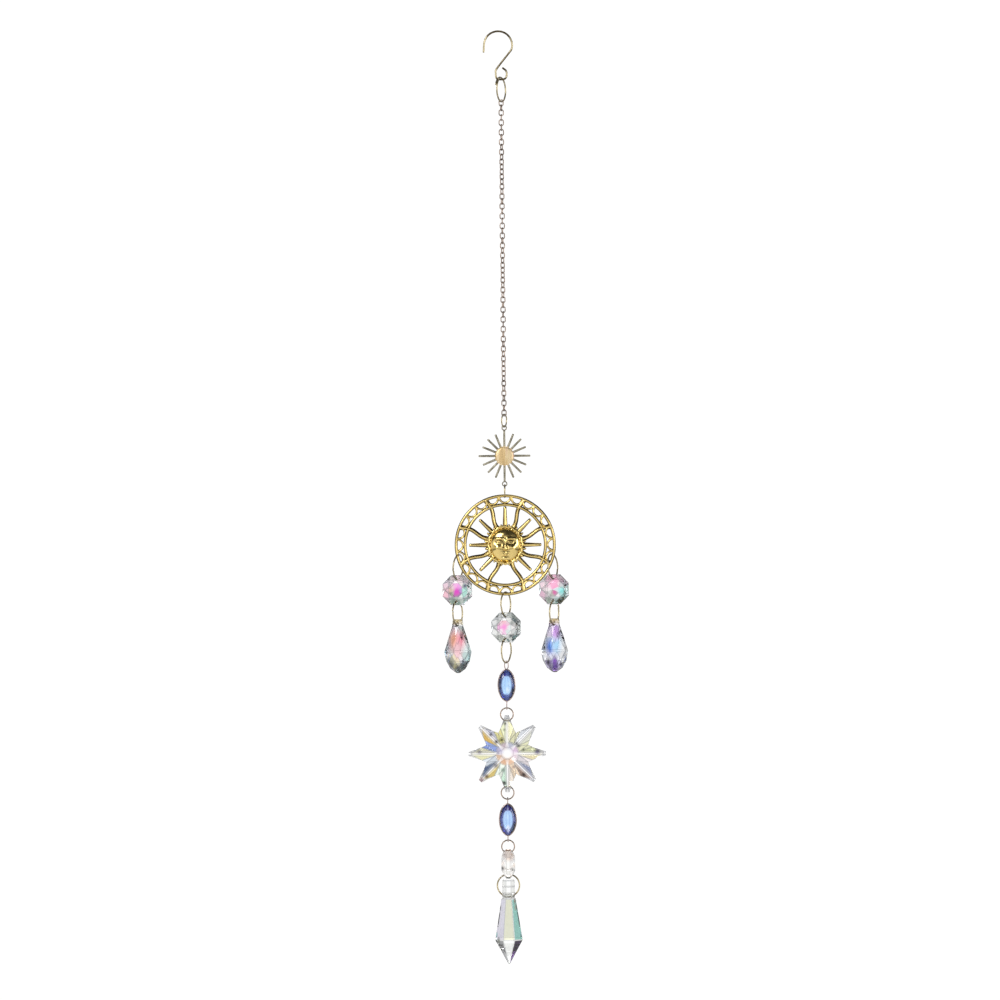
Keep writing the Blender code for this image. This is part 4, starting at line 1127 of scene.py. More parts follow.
# The beads' tints: the coating's colours, with painted reflections, painted highlights and painted shade
BEAD_LOOKS = {
    "left_octagon_bead": glass_look((0.90, 0.82, 0.86), (
        (0.2, 0.8, 0, 0.5, (0.92, 0.72, 0.76)), (-0.75, 0.6, 0, 0.45, (0.80, 0.70, 0.80)),
        (-0.8, -0.1, 0, 0.5, (0.94, 0.60, 0.70)), (0.8, 0.4, 0, 0.35, (0.46, 0.48, 0.58)),
        (0.75, -0.15, 0, 0.6, (0.56, 0.93, 0.84)), (-0.25, -0.85, 0, 0.5, (0.33, 0.42, 0.36)),
        (0.5, -0.75, 0, 0.45, (0.26, 0.42, 0.39)), (-0.7, -0.6, 0, 0.3, (0.40, 0.38, 0.42)),
        *wheel(-0.14, 0.3, 1, 0.14, 0, (0.94, 0.50, 0.84), (0.90, 0.40, 0.86), (0.62, 0.40, 0.74),
               (0.16, 0.20, 0.34), (0.44, 0.14, 0.40), (0.42, 0.46, 0.34),
               (0.74, 0.62, 0.50), (0.84, 0.64, 0.70))), (
        (0.5, 0.28, 1, 0.18, (0.14, 0.12, 0.26)), (-0.02, -0.08, 1, 0.34, (0.78, 0.06, 0.60)),
        (-0.1, -0.72, 1, 0.36, (0.40, 0.50, 0.44)))),
    "right_octagon_bead": glass_look((0.92, 0.86, 0.90), (
        (-0.1, 0.85, 0, 0.6, (0.96, 0.60, 0.74)), (0.75, 0.55, 0, 0.35, (0.92, 0.64, 0.78)),
        (0.85, -0.1, 0, 0.55, (0.44, 0.92, 0.86)), (-0.85, 0.2, 0, 0.45, (0.93, 0.74, 0.82)),
        (-0.8, -0.45, 0, 0.35, (0.70, 0.44, 0.58)), (-0.3, -0.8, 0, 0.45, (0.34, 0.42, 0.36)),
        (0.4, -0.8, 0, 0.45, (0.24, 0.42, 0.38)),
        *wheel(-0.14, 0.3, 1, 0.14, 0, (0.98, 0.48, 0.70), (0.97, 0.42, 0.64), (0.80, 0.84, 0.88),
               (0.50, 0.34, 0.44), (0.46, 0.48, 0.44), (0.66, 0.68, 0.66),
               (0.92, 0.86, 0.88), (0.96, 0.72, 0.82))), (
        (0.05, 0.5, 1, 0.4, (0.98, 0.50, 0.70)), (0.02, -0.2, 1, 0.2, (0.70, 0.14, 0.40)),
        (0.5, -0.12, 1, 0.3, (0.40, 0.94, 0.94)),
        (0.85, 0.3, 1, 0.16, (0.28, 0.26, 0.34)))),
    "centre_octagon_bead": glass_look((0.88, 0.89, 0.88), (
        (-0.75, 0.2, 0, 0.5, (0.80, 0.81, 0.82)), (0.2, 0.8, 0, 0.4, (0.86, 0.88, 0.86)),
        (0.6, 0.6, 0, 0.4, (0.38, 0.42, 0.40)), (0.8, -0.2, 0, 0.35, (0.66, 0.74, 0.72)),
        (0.45, -0.75, 0, 0.4, (0.07, 0.14, 0.14)), (-0.4, -0.8, 0, 0.4, (0.42, 0.46, 0.42)),
        *wheel(-0.14, 0.3, 1, 0.14, 0, (0.94, 0.56, 0.66), (0.84, 0.60, 0.72), (0.80, 0.90, 0.88),
               (0.70, 0.82, 0.82), (0.90, 0.60, 0.82), (0.97, 0.86, 0.96),
               (0.96, 0.52, 0.82), (0.94, 0.66, 0.78))), (
        (-0.12, 0.02, 1, 0.3, (0.97, 0.34, 0.76)), (0.36, 0.3, 1, 0.2, (0.46, 0.50, 0.48)),
        (0.3, -0.55, 1, 0.2, (0.05, 0.10, 0.10)))),
    "turned_octagon_bead": glass_look((0.95, 0.95, 0.94), (), (
        (0.0, 0.6, 0, 0.5, (0.82, 0.66, 0.58)), (0.2, 0.5, 0, 0.3, (0.74, 0.58, 0.50)),
        (-0.42, -0.3, 0, 0.24, (0.0, 0.0, 0.0)), (0.0, -0.95, 0, 0.2, SHADE_GREY),
        (0.42, -0.1, 0, 0.2, (0.84, 0.68, 0.58))), line=(0.7, 0.7, 0.7), girdle=(0.96, 0.96, 0.96),
        painted_shade_border=(0.2 * MM, 0.9)),
}


def make_beads():
    """The four octagon beads."""
    coated = cut_glass("coated bead glass")
    clear = cut_glass("clear bead glass")
    for node, look in BEAD_LOOKS.items():
        turned = node.startswith("turned")
        glass_piece(bead_body(), "cut_" + node, clear if turned else coated, node,
                    math.radians(90) if turned else BEAD_TURN, look)


# A drop's width, its depth as a share of that, and its hole
DROP_WIDTH, DROP_DEPTH = 11.7 * MM, 0.8
DROP_HOLE, DROP_HOLE_INSET = 1.7 * MM, 2.6 * MM
# Rows of a drop's corners: share of its width, share of its length from the top, half a step round or not
DROP_ROWS = ((0.29, 0.0, 0), (0.385, 0.03, 0), (0.42, 0.14, 0), (0.71, 0.35, 1), (1.0, 0.61, 0),
             (0.88, 0.78, 1), (0.56, 0.92, 0), (0.13, 1.0, 0))
# Painted reflection of the wire that shows gold through the drilled neck, with a spot of painted shade
NECK_WIRE_REFLECTION = ((-0.25, 0.95, 0, 0.2, (0.62, 0.50, 0.26)), (0.0, 0.95, 0, 0.2, (0.62, 0.50, 0.26)),
             (0.25, 0.95, 0, 0.2, (0.62, 0.50, 0.26)), (0.0, 0.85, 1, 0.12, (0.16, 0.12, 0.05)))
# The drops' tints: the coating's colours, with painted reflections and painted shade, darker towards the foot
# and sides
DROP_LOOKS = {
    "left_teardrop": glass_look((0.88, 0.88, 0.91), (
        (-0.3, 0.55, 0, 0.4, (0.86, 0.84, 0.94)), (0.5, 0.55, 0, 0.35, (0.46, 0.64, 0.54)),
        (-0.8, -0.05, 0, 0.4, (0.82, 0.76, 0.88)), (0.75, -0.2, 0, 0.4, (0.54, 0.88, 0.80)),
        (0.5, -0.66, 0, 0.34, (0.10, 0.14, 0.16)), (-0.2, -0.6, 0, 0.25, (0.80, 0.78, 0.42)),
        (-0.6, -0.6, 0, 0.25, (0.36, 0.38, 0.44)), (0.0, -0.92, 0, 0.3, (0.14, 0.17, 0.19))), (
        (-0.3, 0.22, 1, 0.55, (1.0, 0.50, 0.34)), (0.22, 0.2, 1, 0.48, (0.98, 0.36, 0.46)),
        (-0.02, -0.18, 1, 0.45, (0.97, 0.62, 0.66)), (0.98, 0.2, 0, 0.22, (0.20, 0.34, 0.30)),
        (0.9, -0.35, 0, 0.22, (0.12, 0.26, 0.26)), (-0.98, -0.2, 0, 0.24, (0.08, 0.10, 0.14)),
        (-0.75, -0.55, 0, 0.22, (0.06, 0.08, 0.12)), (0.4, -0.72, 0, 0.34, (0.03, 0.05, 0.06)),
        (-0.55, -0.72, 0, 0.28, (0.04, 0.05, 0.07)), (0.0, -0.9, 0, 0.34, (0.04, 0.05, 0.06)),
        *NECK_WIRE_REFLECTION), girdle=(0.22, 0.26, 0.25)),
    "right_teardrop": glass_look((0.90, 0.91, 0.95), (
        (0.0, 0.62, 0, 0.45, (0.82, 0.70, 0.94)), (-0.7, 0.1, 0, 0.4, (0.60, 0.70, 0.86)),
        (0.75, 0.0, 0, 0.4, (0.88, 0.92, 0.94)), (-0.4, -0.66, 0, 0.3, (0.20, 0.14, 0.34)),
        (0.3, -0.62, 0, 0.25, (0.50, 0.42, 0.68)), (0.0, -0.92, 0, 0.25, (0.14, 0.10, 0.24))), (
        (-0.34, -0.05, 1, 0.42, (0.14, 0.32, 0.90)), (0.15, 0.05, 1, 0.5, (0.46, 0.74, 0.99)),
        (0.1, 0.5, 1, 0.4, (0.74, 0.48, 0.88)), (0.0, -0.62, 1, 0.4, (0.20, 0.03, 0.44)),
        (-0.5, -0.62, 1, 0.2, (0.02, 0.02, 0.05)), (0.98, -0.05, 0, 0.24, (0.07, 0.07, 0.07)),
        (0.8, -0.45, 0, 0.22, (0.08, 0.08, 0.10)), (-0.95, 0.1, 0, 0.24, (0.10, 0.11, 0.13)),
        (0.05, -0.78, 0, 0.26, (0.10, 0.03, 0.30)), (-0.3, -0.86, 0, 0.2, (0.08, 0.06, 0.14)),
        (0.5, -0.7, 1, 0.16, (0.10, 0.08, 0.16)),
        *NECK_WIRE_REFLECTION), girdle=(0.24, 0.25, 0.30)),
}


def teardrop_body(length):
    """A teardrop of kite-shaped facets below a short drilled neck."""
    sections = []
    for share, drop, half_step in DROP_ROWS:
        corner = share * DROP_WIDTH / 2 / CORNER_SHARE
        sections.append(([Vector((corner * math.cos(a), DROP_DEPTH * corner * math.sin(a),
                                  (0.5 - drop) * length)) for a in section_angles(half_step)], half_step))
    body = bmesh.new()
    loft(body, sections)
    polish_edges(body)
    return drill(body, [(0, 0, length / 2 - DROP_HOLE_INSET)], DROP_HOLE, DROP_WIDTH, "Y")


def make_teardrops():
    """The two faceted teardrops on the side strands."""
    coated = cut_glass("coated drop glass")
    for node, look in DROP_LOOKS.items():
        _, size = node_box(node)
        glass_piece(teardrop_body(size.z), "cut_" + node, coated, node, BEAD_TURN, look)


STONE_SIDES = 16
SETTING_WIDTH, SETTING_HEIGHT = 8.2 * MM, 14.8 * MM
SETTING_WALL, SETTING_LEDGE = 0.54 * MM, 1.3 * MM
SETTING_EYE_WIRE, SETTING_EYE_RADIUS, SETTING_EYE_SINK = 0.5 * MM, 0.85 * MM, 0.35 * MM
CLAW_ANGLES = (28, 62, 118, 152, 208, 242, 298, 332)
# The higher this power, the sharper the ends of the oval
OVAL_POINT = 1.15


def oval_spot(inset, y, angle, tall=1.0):
    """A place on a pointed oval set in from the setting's edge, more so at its points if tall is above one."""
    lean = math.sin(angle)
    across = (SETTING_WIDTH / 2 - inset) * math.copysign(abs(lean) ** OVAL_POINT, lean)
    return Vector((across, y, (SETTING_HEIGHT / 2 - inset * tall) * math.cos(angle)))


def pointed_oval(inset, y, half_step=0, sides=STONE_SIDES, tall=1.0):
    """Corners of a pointed oval, which lie half a step round where half_step is one."""
    return [oval_spot(inset, y, (index + 0.5 * half_step) * math.tau / sides, tall) for index in range(sides)]


def make_setting(node, turn_top, material):
    """A stone's setting: a rounded wall with claws, a ledge behind and a wire eye at each end."""
    middle, size = node_box(node)
    middle = Vector((middle.x, 0.0, middle.z))
    wall, ledge = SETTING_WALL, SETTING_LEDGE
    body = bmesh.new()
    path = [middle + corner for corner in pointed_oval(wall / 2, 0.1 * MM, sides=96)]
    section = ((1, -0.8), (0.6, -1), (-0.6, -1), (-1, -0.8), (-1, 0.8), (-0.7, 1), (0.7, 1), (1, 0.8))
    sweep(body, path, [(wall / 2 * a, 1.2 * MM * b) for a, b in section], closed=True)
    path = [middle + corner for corner in pointed_oval(ledge / 2 + 0.2 * MM, 1.05 * MM, sides=96)]
    sweep(body, path, round_profile(ledge, 0.45 * MM, 8), closed=True)
    for angle in CLAW_ANGLES:
        outer = oval_spot(wall * 0.3, -1.0 * MM, math.radians(angle))
        inner = Vector((outer.x * 0.78, -1.45 * MM, outer.z * 0.86))
        side = (inner - outer).cross(DEPTH).normalized()
        claw = [middle + outer, middle + outer.lerp(inner, 0.5) + Vector((0, -0.18 * MM, 0)), middle + inner]
        claw, scales = rounded_ends(claw, 0.14 * MM, 3)
        sweep(body, claw, round_profile(0.42 * MM, 0.34 * MM, 8), side.cross(inner - outer).normalized(),
              scales=scales)
    reach = size.z / 2 - SETTING_HEIGHT / 2
    half_height = (reach - SETTING_EYE_WIRE / 2 + SETTING_EYE_SINK) / 2
    for side, turn in ((1, turn_top), (-1, math.pi / 2)):
        centre = middle + Vector((0, 0, side * (SETTING_HEIGHT / 2 - SETTING_EYE_SINK + half_height)))
        spin = Matrix.Rotation(turn, 4, "Z")
        eye = [centre + spin @ Vector((SETTING_EYE_RADIUS * math.cos(a), 0, half_height * math.sin(a)))
               for a in circle_angles(32)]
        sweep(body, eye, round_profile(SETTING_EYE_WIRE, sides=10), spin @ DEPTH, closed=True)
    return piece_from(body, node + "_frame", material, [node])


# The stones' own blue, with painted highlights on the table and painted shade round the sides
STONE_LOOKS = {
    "upper_stone": glass_look((0.04, 0.07, 0.30), (
        (0.0, 0.0, 1, 0.6, (0.50, 0.72, 0.99)), (0.75, -0.4, 1, 0.35, (0.0, 0.01, 0.02)),
        (-0.75, 0.05, 1, 0.4, (0.01, 0.02, 0.10)), (0.6, 0.5, 1, 0.4, (0.04, 0.06, 0.26)),
        (-0.5, -0.7, 1, 0.35, (0.12, 0.22, 0.72)), (-0.3, 0.75, 1, 0.3, (0.14, 0.12, 0.46)),
        (0.0, 0.0, -1, 0.8, (0.84, 0.92, 1.0))), (
        (0.14, -0.3, 1, 0.26, (0.80, 0.92, 1.0)), (0.3, 0.1, 1, 0.2, (0.66, 0.84, 1.0))),
        line=(0.16, 0.20, 0.42), girdle=(0.04, 0.05, 0.14), painted_shade_border=(0.12 * MM, 0.7)),
    "lower_stone": glass_look((0.07, 0.09, 0.36), (
        (0.0, 0.0, 1, 0.6, (0.50, 0.70, 0.98)), (0.7, -0.4, 1, 0.3, (0.0, 0.02, 0.02)),
        (0.5, -0.68, 1, 0.25, (0.04, 0.16, 0.12)), (-0.75, 0.1, 1, 0.4, (0.14, 0.18, 0.56)),
        (-0.5, -0.6, 1, 0.3, (0.16, 0.22, 0.60)), (0.7, 0.25, 1, 0.3, (0.12, 0.16, 0.50)),
        (0.0, 0.85, 1, 0.45, (0.14, 0.05, 0.32)), (0.0, 0.0, -1, 0.8, (0.86, 0.92, 1.0))), (
        (0.0, 0.72, 1, 0.14, (0.80, 0.78, 0.96)), (0.02, -0.55, 1, 0.26, (0.96, 0.98, 1.0)),
        (0.02, -0.78, 1, 0.14, (0.90, 0.90, 0.98)), (-0.1, 0.2, 1, 0.25, (0.60, 0.78, 1.0))),
        line=(0.18, 0.22, 0.46), girdle=(0.04, 0.05, 0.14), painted_shade_border=(0.12 * MM, 0.7)),
}


def stone_body():
    """A pointed-oval stone: table, crown, girdle and a low cut back."""
    body = bmesh.new()
    loft(body, [(pointed_oval(1.6 * MM, -1.9 * MM, tall=1.85), 0),
                (pointed_oval(1.1 * MM, -1.6 * MM, 1, tall=1.4), 1),
                (pointed_oval(0.52 * MM, -0.95 * MM), 0), (pointed_oval(0.52 * MM, -0.35 * MM), 0),
                (pointed_oval(2.0 * MM, 0.3 * MM, 1), 1), (pointed_oval(3.4 * MM, 0.6 * MM), 0)])
    polish_edges(body, 0.05 * MM)
    return body


def make_stones():
    """The two blue pointed-oval stones and their rose-gold settings."""
    metal = bpy.context.scene.suncatcher_metal
    rose = plated_metal("rose gold setting", metal.rose_colour, 0.55, 0.22)
    make_setting("upper_bezel", 0.0, rose)
    make_setting("lower_bezel", math.pi / 2, rose)
    blue = cut_glass("blue cut glass")
    for node, look in STONE_LOOKS.items():
        glass_piece(stone_body(), "cut_" + node, blue, node, 0.0, look)


STAR_PETALS = 8
YELLOW = (1.0, 0.95, 0.48)
AMBER = (0.86, 0.58, 0.16)
# The clear star's tints: painted reflections of colour, a painted highlight at its middle and painted shade in
# its dark spots
STAR_LOOK = glass_look((0.89, 0.89, 0.90), (
    # between the petals, clockwise from the one right of the top
    *wheel(0, 0.46, 0, 0.2, 22.5, (1.0, 0.98, 0.68), (0.98, 0.98, 0.70), (0.92, 0.86, 0.90), (0.94, 0.77, 0.60),
           (0.90, 0.98, 0.90), (0.80, 0.87, 0.96), (0.38, 0.50, 0.96), YELLOW),
    # the petals' anticlockwise sides, then their clockwise sides, from the top one
    *wheel(0, 0.635, 0, 0.1, -7.2, (0.92, 0.96, 0.68), (0.50, 0.53, 0.59), (0.90, 0.93, 0.58),
           (0.44, 0.48, 0.66), (0.92, 0.84, 0.76), (0.98, 0.78, 0.28), (1.0, 0.98, 0.62), AMBER),
    *wheel(0, 0.635, 0, 0.1, 7.2, YELLOW, (0.92, 0.93, 0.82), (1.0, 0.91, 0.60), (0.46, 0.32, 0.26),
           (0.66, 0.88, 0.72), (0.22, 0.28, 0.42), (0.90, 0.88, 0.64), (0.72, 0.72, 0.84)),
    *wheel(0, 0.23, 0, 0.09, 22.5, (0.60, 0.62, 0.72), (0.80, 0.66, 0.80), (0.90, 0.84, 0.90),
           (0.88, 0.66, 0.50), (0.82, 0.58, 0.42), (0.84, 0.66, 0.50), (0.56, 0.56, 0.72), (0.62, 0.54, 0.58)),
    *wheel(0, 0.097, 0, 0.06, 0, WHITE, WHITE, WHITE, WHITE, WHITE, WHITE, WHITE, WHITE)), (
    (0.0, 0.0, 1, 0.2, WHITE),
    *wheel(0, 0.19, 1, 0.12, 22.5, (0.68, 0.68, 0.78), (0.84, 0.70, 0.86), (0.90, 0.78, 0.84),
           (0.86, 0.66, 0.54), (0.82, 0.60, 0.46), (0.84, 0.68, 0.58), (0.72, 0.68, 0.82), (0.74, 0.66, 0.70)),
    (-0.14, 0.36, 1, 0.08, BLACK), (-0.28, 0.31, 1, 0.08, (0.04, 0.04, 0.06)),
    (0.24, 0.26, 1, 0.08, (0.06, 0.06, 0.09)), (0.27, 0.6, 1, 0.08, (0.12, 0.13, 0.14)),
    (0.42, -0.55, 1, 0.09, (0.06, 0.04, 0.05)), (-0.54, -0.58, 1, 0.09, (0.18, 0.10, 0.04)),
    (-0.08, -0.76, 0, 0.08, BLACK), (0.78, 0.05, 1, 0.12, (0.26, 0.24, 0.36)),
    (-0.05, 0.78, 1, 0.06, (0.10, 0.12, 0.10)), (-0.3, -0.3, 1, 0.1, (0.30, 0.30, 0.34)),
    (-0.72, 0.05, 1, 0.08, (0.40, 0.38, 0.42)), (-0.68, -0.68, 1, 0.1, (0.56, 0.40, 0.42)),
    (-0.07, 0.62, 1, 0.05, (0.30, 0.34, 0.26)), (-0.42, 0.5, 1, 0.07, (0.16, 0.16, 0.20)),
    (0.3, 0.2, 1, 0.06, (0.10, 0.10, 0.16)), (0.42, 0.1, 1, 0.06, (0.30, 0.32, 0.26)),
    (0.16, -0.34, 1, 0.07, (0.44, 0.36, 0.36)), (-0.12, -0.42, 1, 0.08, (0.36, 0.46, 0.40)),
    (-0.24, 0.02, 1, 0.06, (0.40, 0.38, 0.48)), (-0.6, -0.36, 1, 0.08, (0.20, 0.26, 0.42))),
    line=(0.30, 0.31, 0.34), girdle=(0.34, 0.35, 0.38), ridge=(0.96, 0.95, 0.97), painted_shade_border=(0.13 * MM, 0.8))


# Radii of the star's corners, half widths of a petal, and how far its crest and root lie in from tip and table
HUB_RADIUS, ROOT_RADIUS, SHOULDER_RADIUS, NOTCH_RADIUS = 2.5 * MM, 4.9 * MM, 11.5 * MM, 10.2 * MM
ROOT_HALF, CREST_HALF, SHOULDER_HALF, TIP_HALF = 0.5 * MM, 0.4 * MM, 2.9 * MM, 0.85 * MM
CREST_INSET, ROOT_DROP = 1.5 * MM, 0.45 * MM
STAR_THICKNESS, STAR_TIP_THICKNESS, STAR_EDGE = 6.8 * MM, 3.8 * MM, 2.2 * MM
STAR_HOLE, STAR_HOLE_INSET, STAR_HOLE_LENGTH = 1.5 * MM, 2.35 * MM, 5.8 * MM


def star_body():
    """The star: eight pointed petals with a flat ridge each, round a small table, the same on both sides."""
    _, size = node_box("crystal_star")
    radius = size.z / 2
    half_turn = math.tau / STAR_PETALS / 2
    body = bmesh.new()
    outlines = []
    for side in (-1, 1):

        def corner(reach, angle, aside, thickness):
            return body.verts.new(polar(reach, angle, aside, side * thickness / 2))

        def pair(reach, angle, half, thickness):
            return [corner(reach, angle, aside * half, thickness) for aside in (-1, 1)]

        petals = []
        for angle in circle_angles(STAR_PETALS):
            petals.append({
                "hub": corner(HUB_RADIUS, angle + half_turn, 0, STAR_THICKNESS),
                "root": pair(ROOT_RADIUS, angle, ROOT_HALF, STAR_THICKNESS - 2 * ROOT_DROP),
                "crest": pair(radius - CREST_INSET, angle, CREST_HALF, STAR_TIP_THICKNESS),
                "shoulder": pair(SHOULDER_RADIUS, angle, SHOULDER_HALF, STAR_EDGE),
                "tip": pair(radius, angle, TIP_HALF, STAR_EDGE),
                "notch": corner(NOTCH_RADIUS, angle + half_turn, 0, STAR_EDGE),
            })
        body.faces.new([petal["hub"] for petal in petals])
        outline = []
        for index, petal in enumerate(petals):
            after, before = petals[(index + 1) % STAR_PETALS], petals[index - 1]
            root, crest, shoulder, tip = petal["root"], petal["crest"], petal["shoulder"], petal["tip"]
            body.faces.new((root[0], root[1], crest[1], crest[0]))
            body.faces.new((crest[0], crest[1], tip[1], tip[0]))
            for hand in (0, 1):
                body.faces.new((root[hand], crest[hand], shoulder[hand]))
                body.faces.new((crest[hand], tip[hand], shoulder[hand]))
            body.faces.new((root[1], shoulder[1], petal["notch"]))
            body.faces.new((root[1], petal["notch"], after["root"][0]))
            body.faces.new((after["root"][0], petal["notch"], after["shoulder"][0]))
            body.faces.new((root[1], after["root"][0], petal["hub"]))
            body.faces.new((before["hub"], root[0], root[1], petal["hub"]))
            outline += [shoulder[0], tip[0], tip[1], shoulder[1], petal["notch"]]
        outlines.append(outline)
    strip(body, *outlines)
    polish_edges(body)
    reach = radius - STAR_HOLE_INSET
    return drill(body, [(0, 0, reach), (0, 0, -reach)], STAR_HOLE, STAR_HOLE_LENGTH, "X")


def make_star():
    """The cut-glass star."""
    clear = cut_glass("clear star glass")
    glass_piece(star_body(), "cut_crystal_star", clear, "crystal_star", 0.0, STAR_LOOK)


# The clear prism's tints: painted reflections of colour, painted white where light comes through, and painted
# shade at its sides and foot
PRISM_LOOK = glass_look((0.96, 0.97, 0.96), (
    (0.0, -0.05, 1, 0.3, (1.0, 1.0, 0.80)), (0.6, 0.0, 1, 0.34, (0.34, 0.67, 0.60)),
    (-0.6, 0.0, 1, 0.34, (0.87, 0.84, 0.95)), (0.0, 0.0, -1, 1.4, WHITE),
    (0.95, -0.1, 0, 0.3, (0.50, 0.44, 0.46)), (-0.95, -0.1, 0, 0.3, (0.56, 0.54, 0.62)),
    (-0.45, -0.72, 1, 0.35, (0.38, 0.38, 0.39)), (0.45, -0.72, 1, 0.35, (0.04, 0.02, 0.06)),
    (0.0, -0.75, 1, 0.3, WHITE)), (
    (-0.74, -0.43, 1, 0.12, (0.22, 0.24, 0.20)), (0.45, 0.5, 1, 0.1, (0.30, 0.22, 0.16)),
    (0.4, 0.64, 1, 0.08, (0.34, 0.26, 0.20)), (0.5, 0.35, 1, 0.1, (0.36, 0.40, 0.32))),
    line=(0.62, 0.62, 0.62), girdle=(0.8, 0.8, 0.8), painted_shade_border=(0.2 * MM, 0.75))


# The neck's grooves, in millimetres: width across and drop from the top
PRISM_NECK = ((4.8, 0.0), (5.6, 0.5), (5.6, 3.0), (5.35, 3.15), (5.6, 3.3), (5.6, 6.0), (5.15, 6.3), (5.6, 6.6),
              (5.6, 7.9), (5.3, 8.1), (6.5, 8.6))
PRISM_WIDEST_DROP, PRISM_TIP_WIDTH = 27.0 * MM, 0.5 * MM
PRISM_HOLE, PRISM_HOLE_DROP, PRISM_HOLE_LENGTH = 2.0 * MM, 7.2 * MM, 12 * MM


def prism_body():
    """The long prism: a grooved neck, eight widening sides and a pointed foot."""
    _, size = node_box("icicle_prism")
    length = size.z
    rows = [(across * MM, drop * MM) for across, drop in PRISM_NECK]
    rows += [(size.x, PRISM_WIDEST_DROP), (PRISM_TIP_WIDTH, length)]
    sections = []
    for across, drop in rows:
        corner = across / 2 / CORNER_SHARE
        sections.append(([Vector((corner * math.cos(a), corner * math.sin(a), length / 2 - drop))
                          for a in section_angles(0)], 0))
    body = bmesh.new()
    loft(body, sections)
    polish_edges(body)
    return drill(body, [(0, 0, length / 2 - PRISM_HOLE_DROP)], PRISM_HOLE, PRISM_HOLE_LENGTH, "X")


def make_prism():
    """The long glass point at the foot."""
    clear = cut_glass("clear prism glass")
    glass_piece(prism_body(), "cut_icicle_prism", clear, "icicle_prism", 0.0, PRISM_LOOK)


# Stage


def aim(item, target):
    """Turns a light to face a place."""
    item.rotation_euler = (target - item.location).to_track_quat("-Z", "Y").to_euler()


# Each light: name, place, size in metres and power in watts
LIGHTS = (("key light", (-1.2, -1.7, 0.9), 1.0, 24.0), ("fill light", (1.6, -1.2, 0.1), 0.8, 9.0),
          ("top light", (0.2, 0.5, 1.5), 0.9, 10.0))
# Bright panes round the studio, and the brightness of its paper
WINDOW_PANES = 8.0
PAPER_BRIGHTNESS = 1.05
FLOOR_SIZE, FLOOR_GLOW = 0.6, 0.35


def add_light(name, place, size, energy):
    """A square soft light that faces the ornament."""
    data = bpy.data.lights.new(name, "AREA")
    data.size, data.energy = size, energy
    item = bpy.data.objects.new(name, data)
    item.location = place
    aim(item, PHOTO_CENTRE)
    bpy.context.scene.collection.objects.link(item)


def studio_world():
    """White paper to the camera, a bright horizon in the metal, panes with grey gaps through the glass."""
    world = bpy.data.worlds.new("studio")
    world.use_nodes = True
    bpy.context.scene.world = world
    tree = world.node_tree
    make = Nodes(tree)
    tree.nodes.clear()
    place = make.add("ShaderNodeTexCoord")
    split = make.add("ShaderNodeSeparateXYZ")
    make.join(place.outputs["Generated"], split.inputs[0])
    round_about = make.math("ARCTAN2", split.outputs["X"], split.outputs["Y"])
    stripes = make.math("COSINE", make.math("MULTIPLY", round_about, WINDOW_PANES))
    height = make.math("ABSOLUTE", split.outputs["Z"])
    ceiling = make.fit(split.outputs["Z"], 0.55, 0.75, 0.0, 0.55)
    low_down = make.fit(height, 0.3, 0.5, 1.0, 0.8)
    through = make.math("MULTIPLY", make.fit(stripes, -0.4, 0.1, 0.86, 1.1), low_down)
    horizon = make.fit(height, 0.10, 0.30, 1.0, 0.05)
    mirrored = make.math("MULTIPLY", make.fit(stripes, -0.6, 0.4, 0.65, 1.32), horizon)
    paths = make.add("ShaderNodeLightPath")
    clear = make.sum(through, ceiling)
    total = make.pick(paths.outputs["Is Transmission Ray"], mirrored, clear)
    room = make.add("ShaderNodeBackground", Color=(1.0, 0.99, 0.97, 1.0))
    make.join(total, room.inputs["Strength"])
    paper = make.add("ShaderNodeBackground", Color=(1.0, 1.0, 1.0, 1.0), Strength=PAPER_BRIGHTNESS)
    choose = make.add("ShaderNodeMixShader")
    make.join(paths.outputs["Is Camera Ray"], choose.inputs[0])
    make.join(room.outputs[0], choose.inputs[1])
    make.join(paper.outputs[0], choose.inputs[2])
    out = make.add("ShaderNodeOutputWorld")
    make.join(choose.outputs[0], out.inputs["Surface"])


def make_floor():
    """A plain pale floor below the ornament, seen only in its reflections."""
    stage = bpy.context.scene.suncatcher_stage
    body = bmesh.new()
    bmesh.ops.create_grid(body, x_segments=8, y_segments=8, size=FLOOR_SIZE)
    mesh = bpy.data.meshes.new("floor")
    body.to_mesh(mesh)
    body.free()
    floor = bpy.data.objects.new("floor", mesh)
    floor.location = (0.0, 0.0, -stage.floor_drop)
    floor.visible_camera = False
    make = Finish("pale floor")
    tone = make.ramp(make.noise(6.0, 3.0), ((0.3, darker(stage.floor_colour, 0.98)), (0.7, stage.floor_colour)))
    make.join(tone, make.shader.inputs["Base Color"])
    make.set("Roughness", 0.9)
    make.set("Emission Color", (1.0, 1.0, 1.0, 1.0))
    make.set("Emission Strength", FLOOR_GLOW)
    mesh.materials.append(make.material)
    bpy.context.scene.collection.objects.link(floor)


def make_stage():
    """Camera, soft lights, studio surroundings and floor."""
    scene = bpy.context.scene
    stage = bpy.context.scene.suncatcher_stage
    data = bpy.data.cameras.new("camera")
    data.sensor_width = 36.0
    data.lens = data.sensor_width * stage.camera_distance / PHOTO_SPAN
    camera = bpy.data.objects.new("camera", data)
    camera.location = PHOTO_CENTRE + Vector((0.0, -stage.camera_distance, 0.0))
    camera.rotation_euler = (math.pi / 2, PHOTO_ROLL, 0.0)
    scene.collection.objects.link(camera)
    scene.camera = camera
    studio_world()
    for light in LIGHTS:
        add_light(*light)
    make_floor()
    scene.view_settings.view_transform = "Standard"
    scene.cycles.use_denoising = True
    scene.cycles.max_bounces = 16
    scene.cycles.transmission_bounces = 14
    scene.cycles.glossy_bounces = 6


# Operators


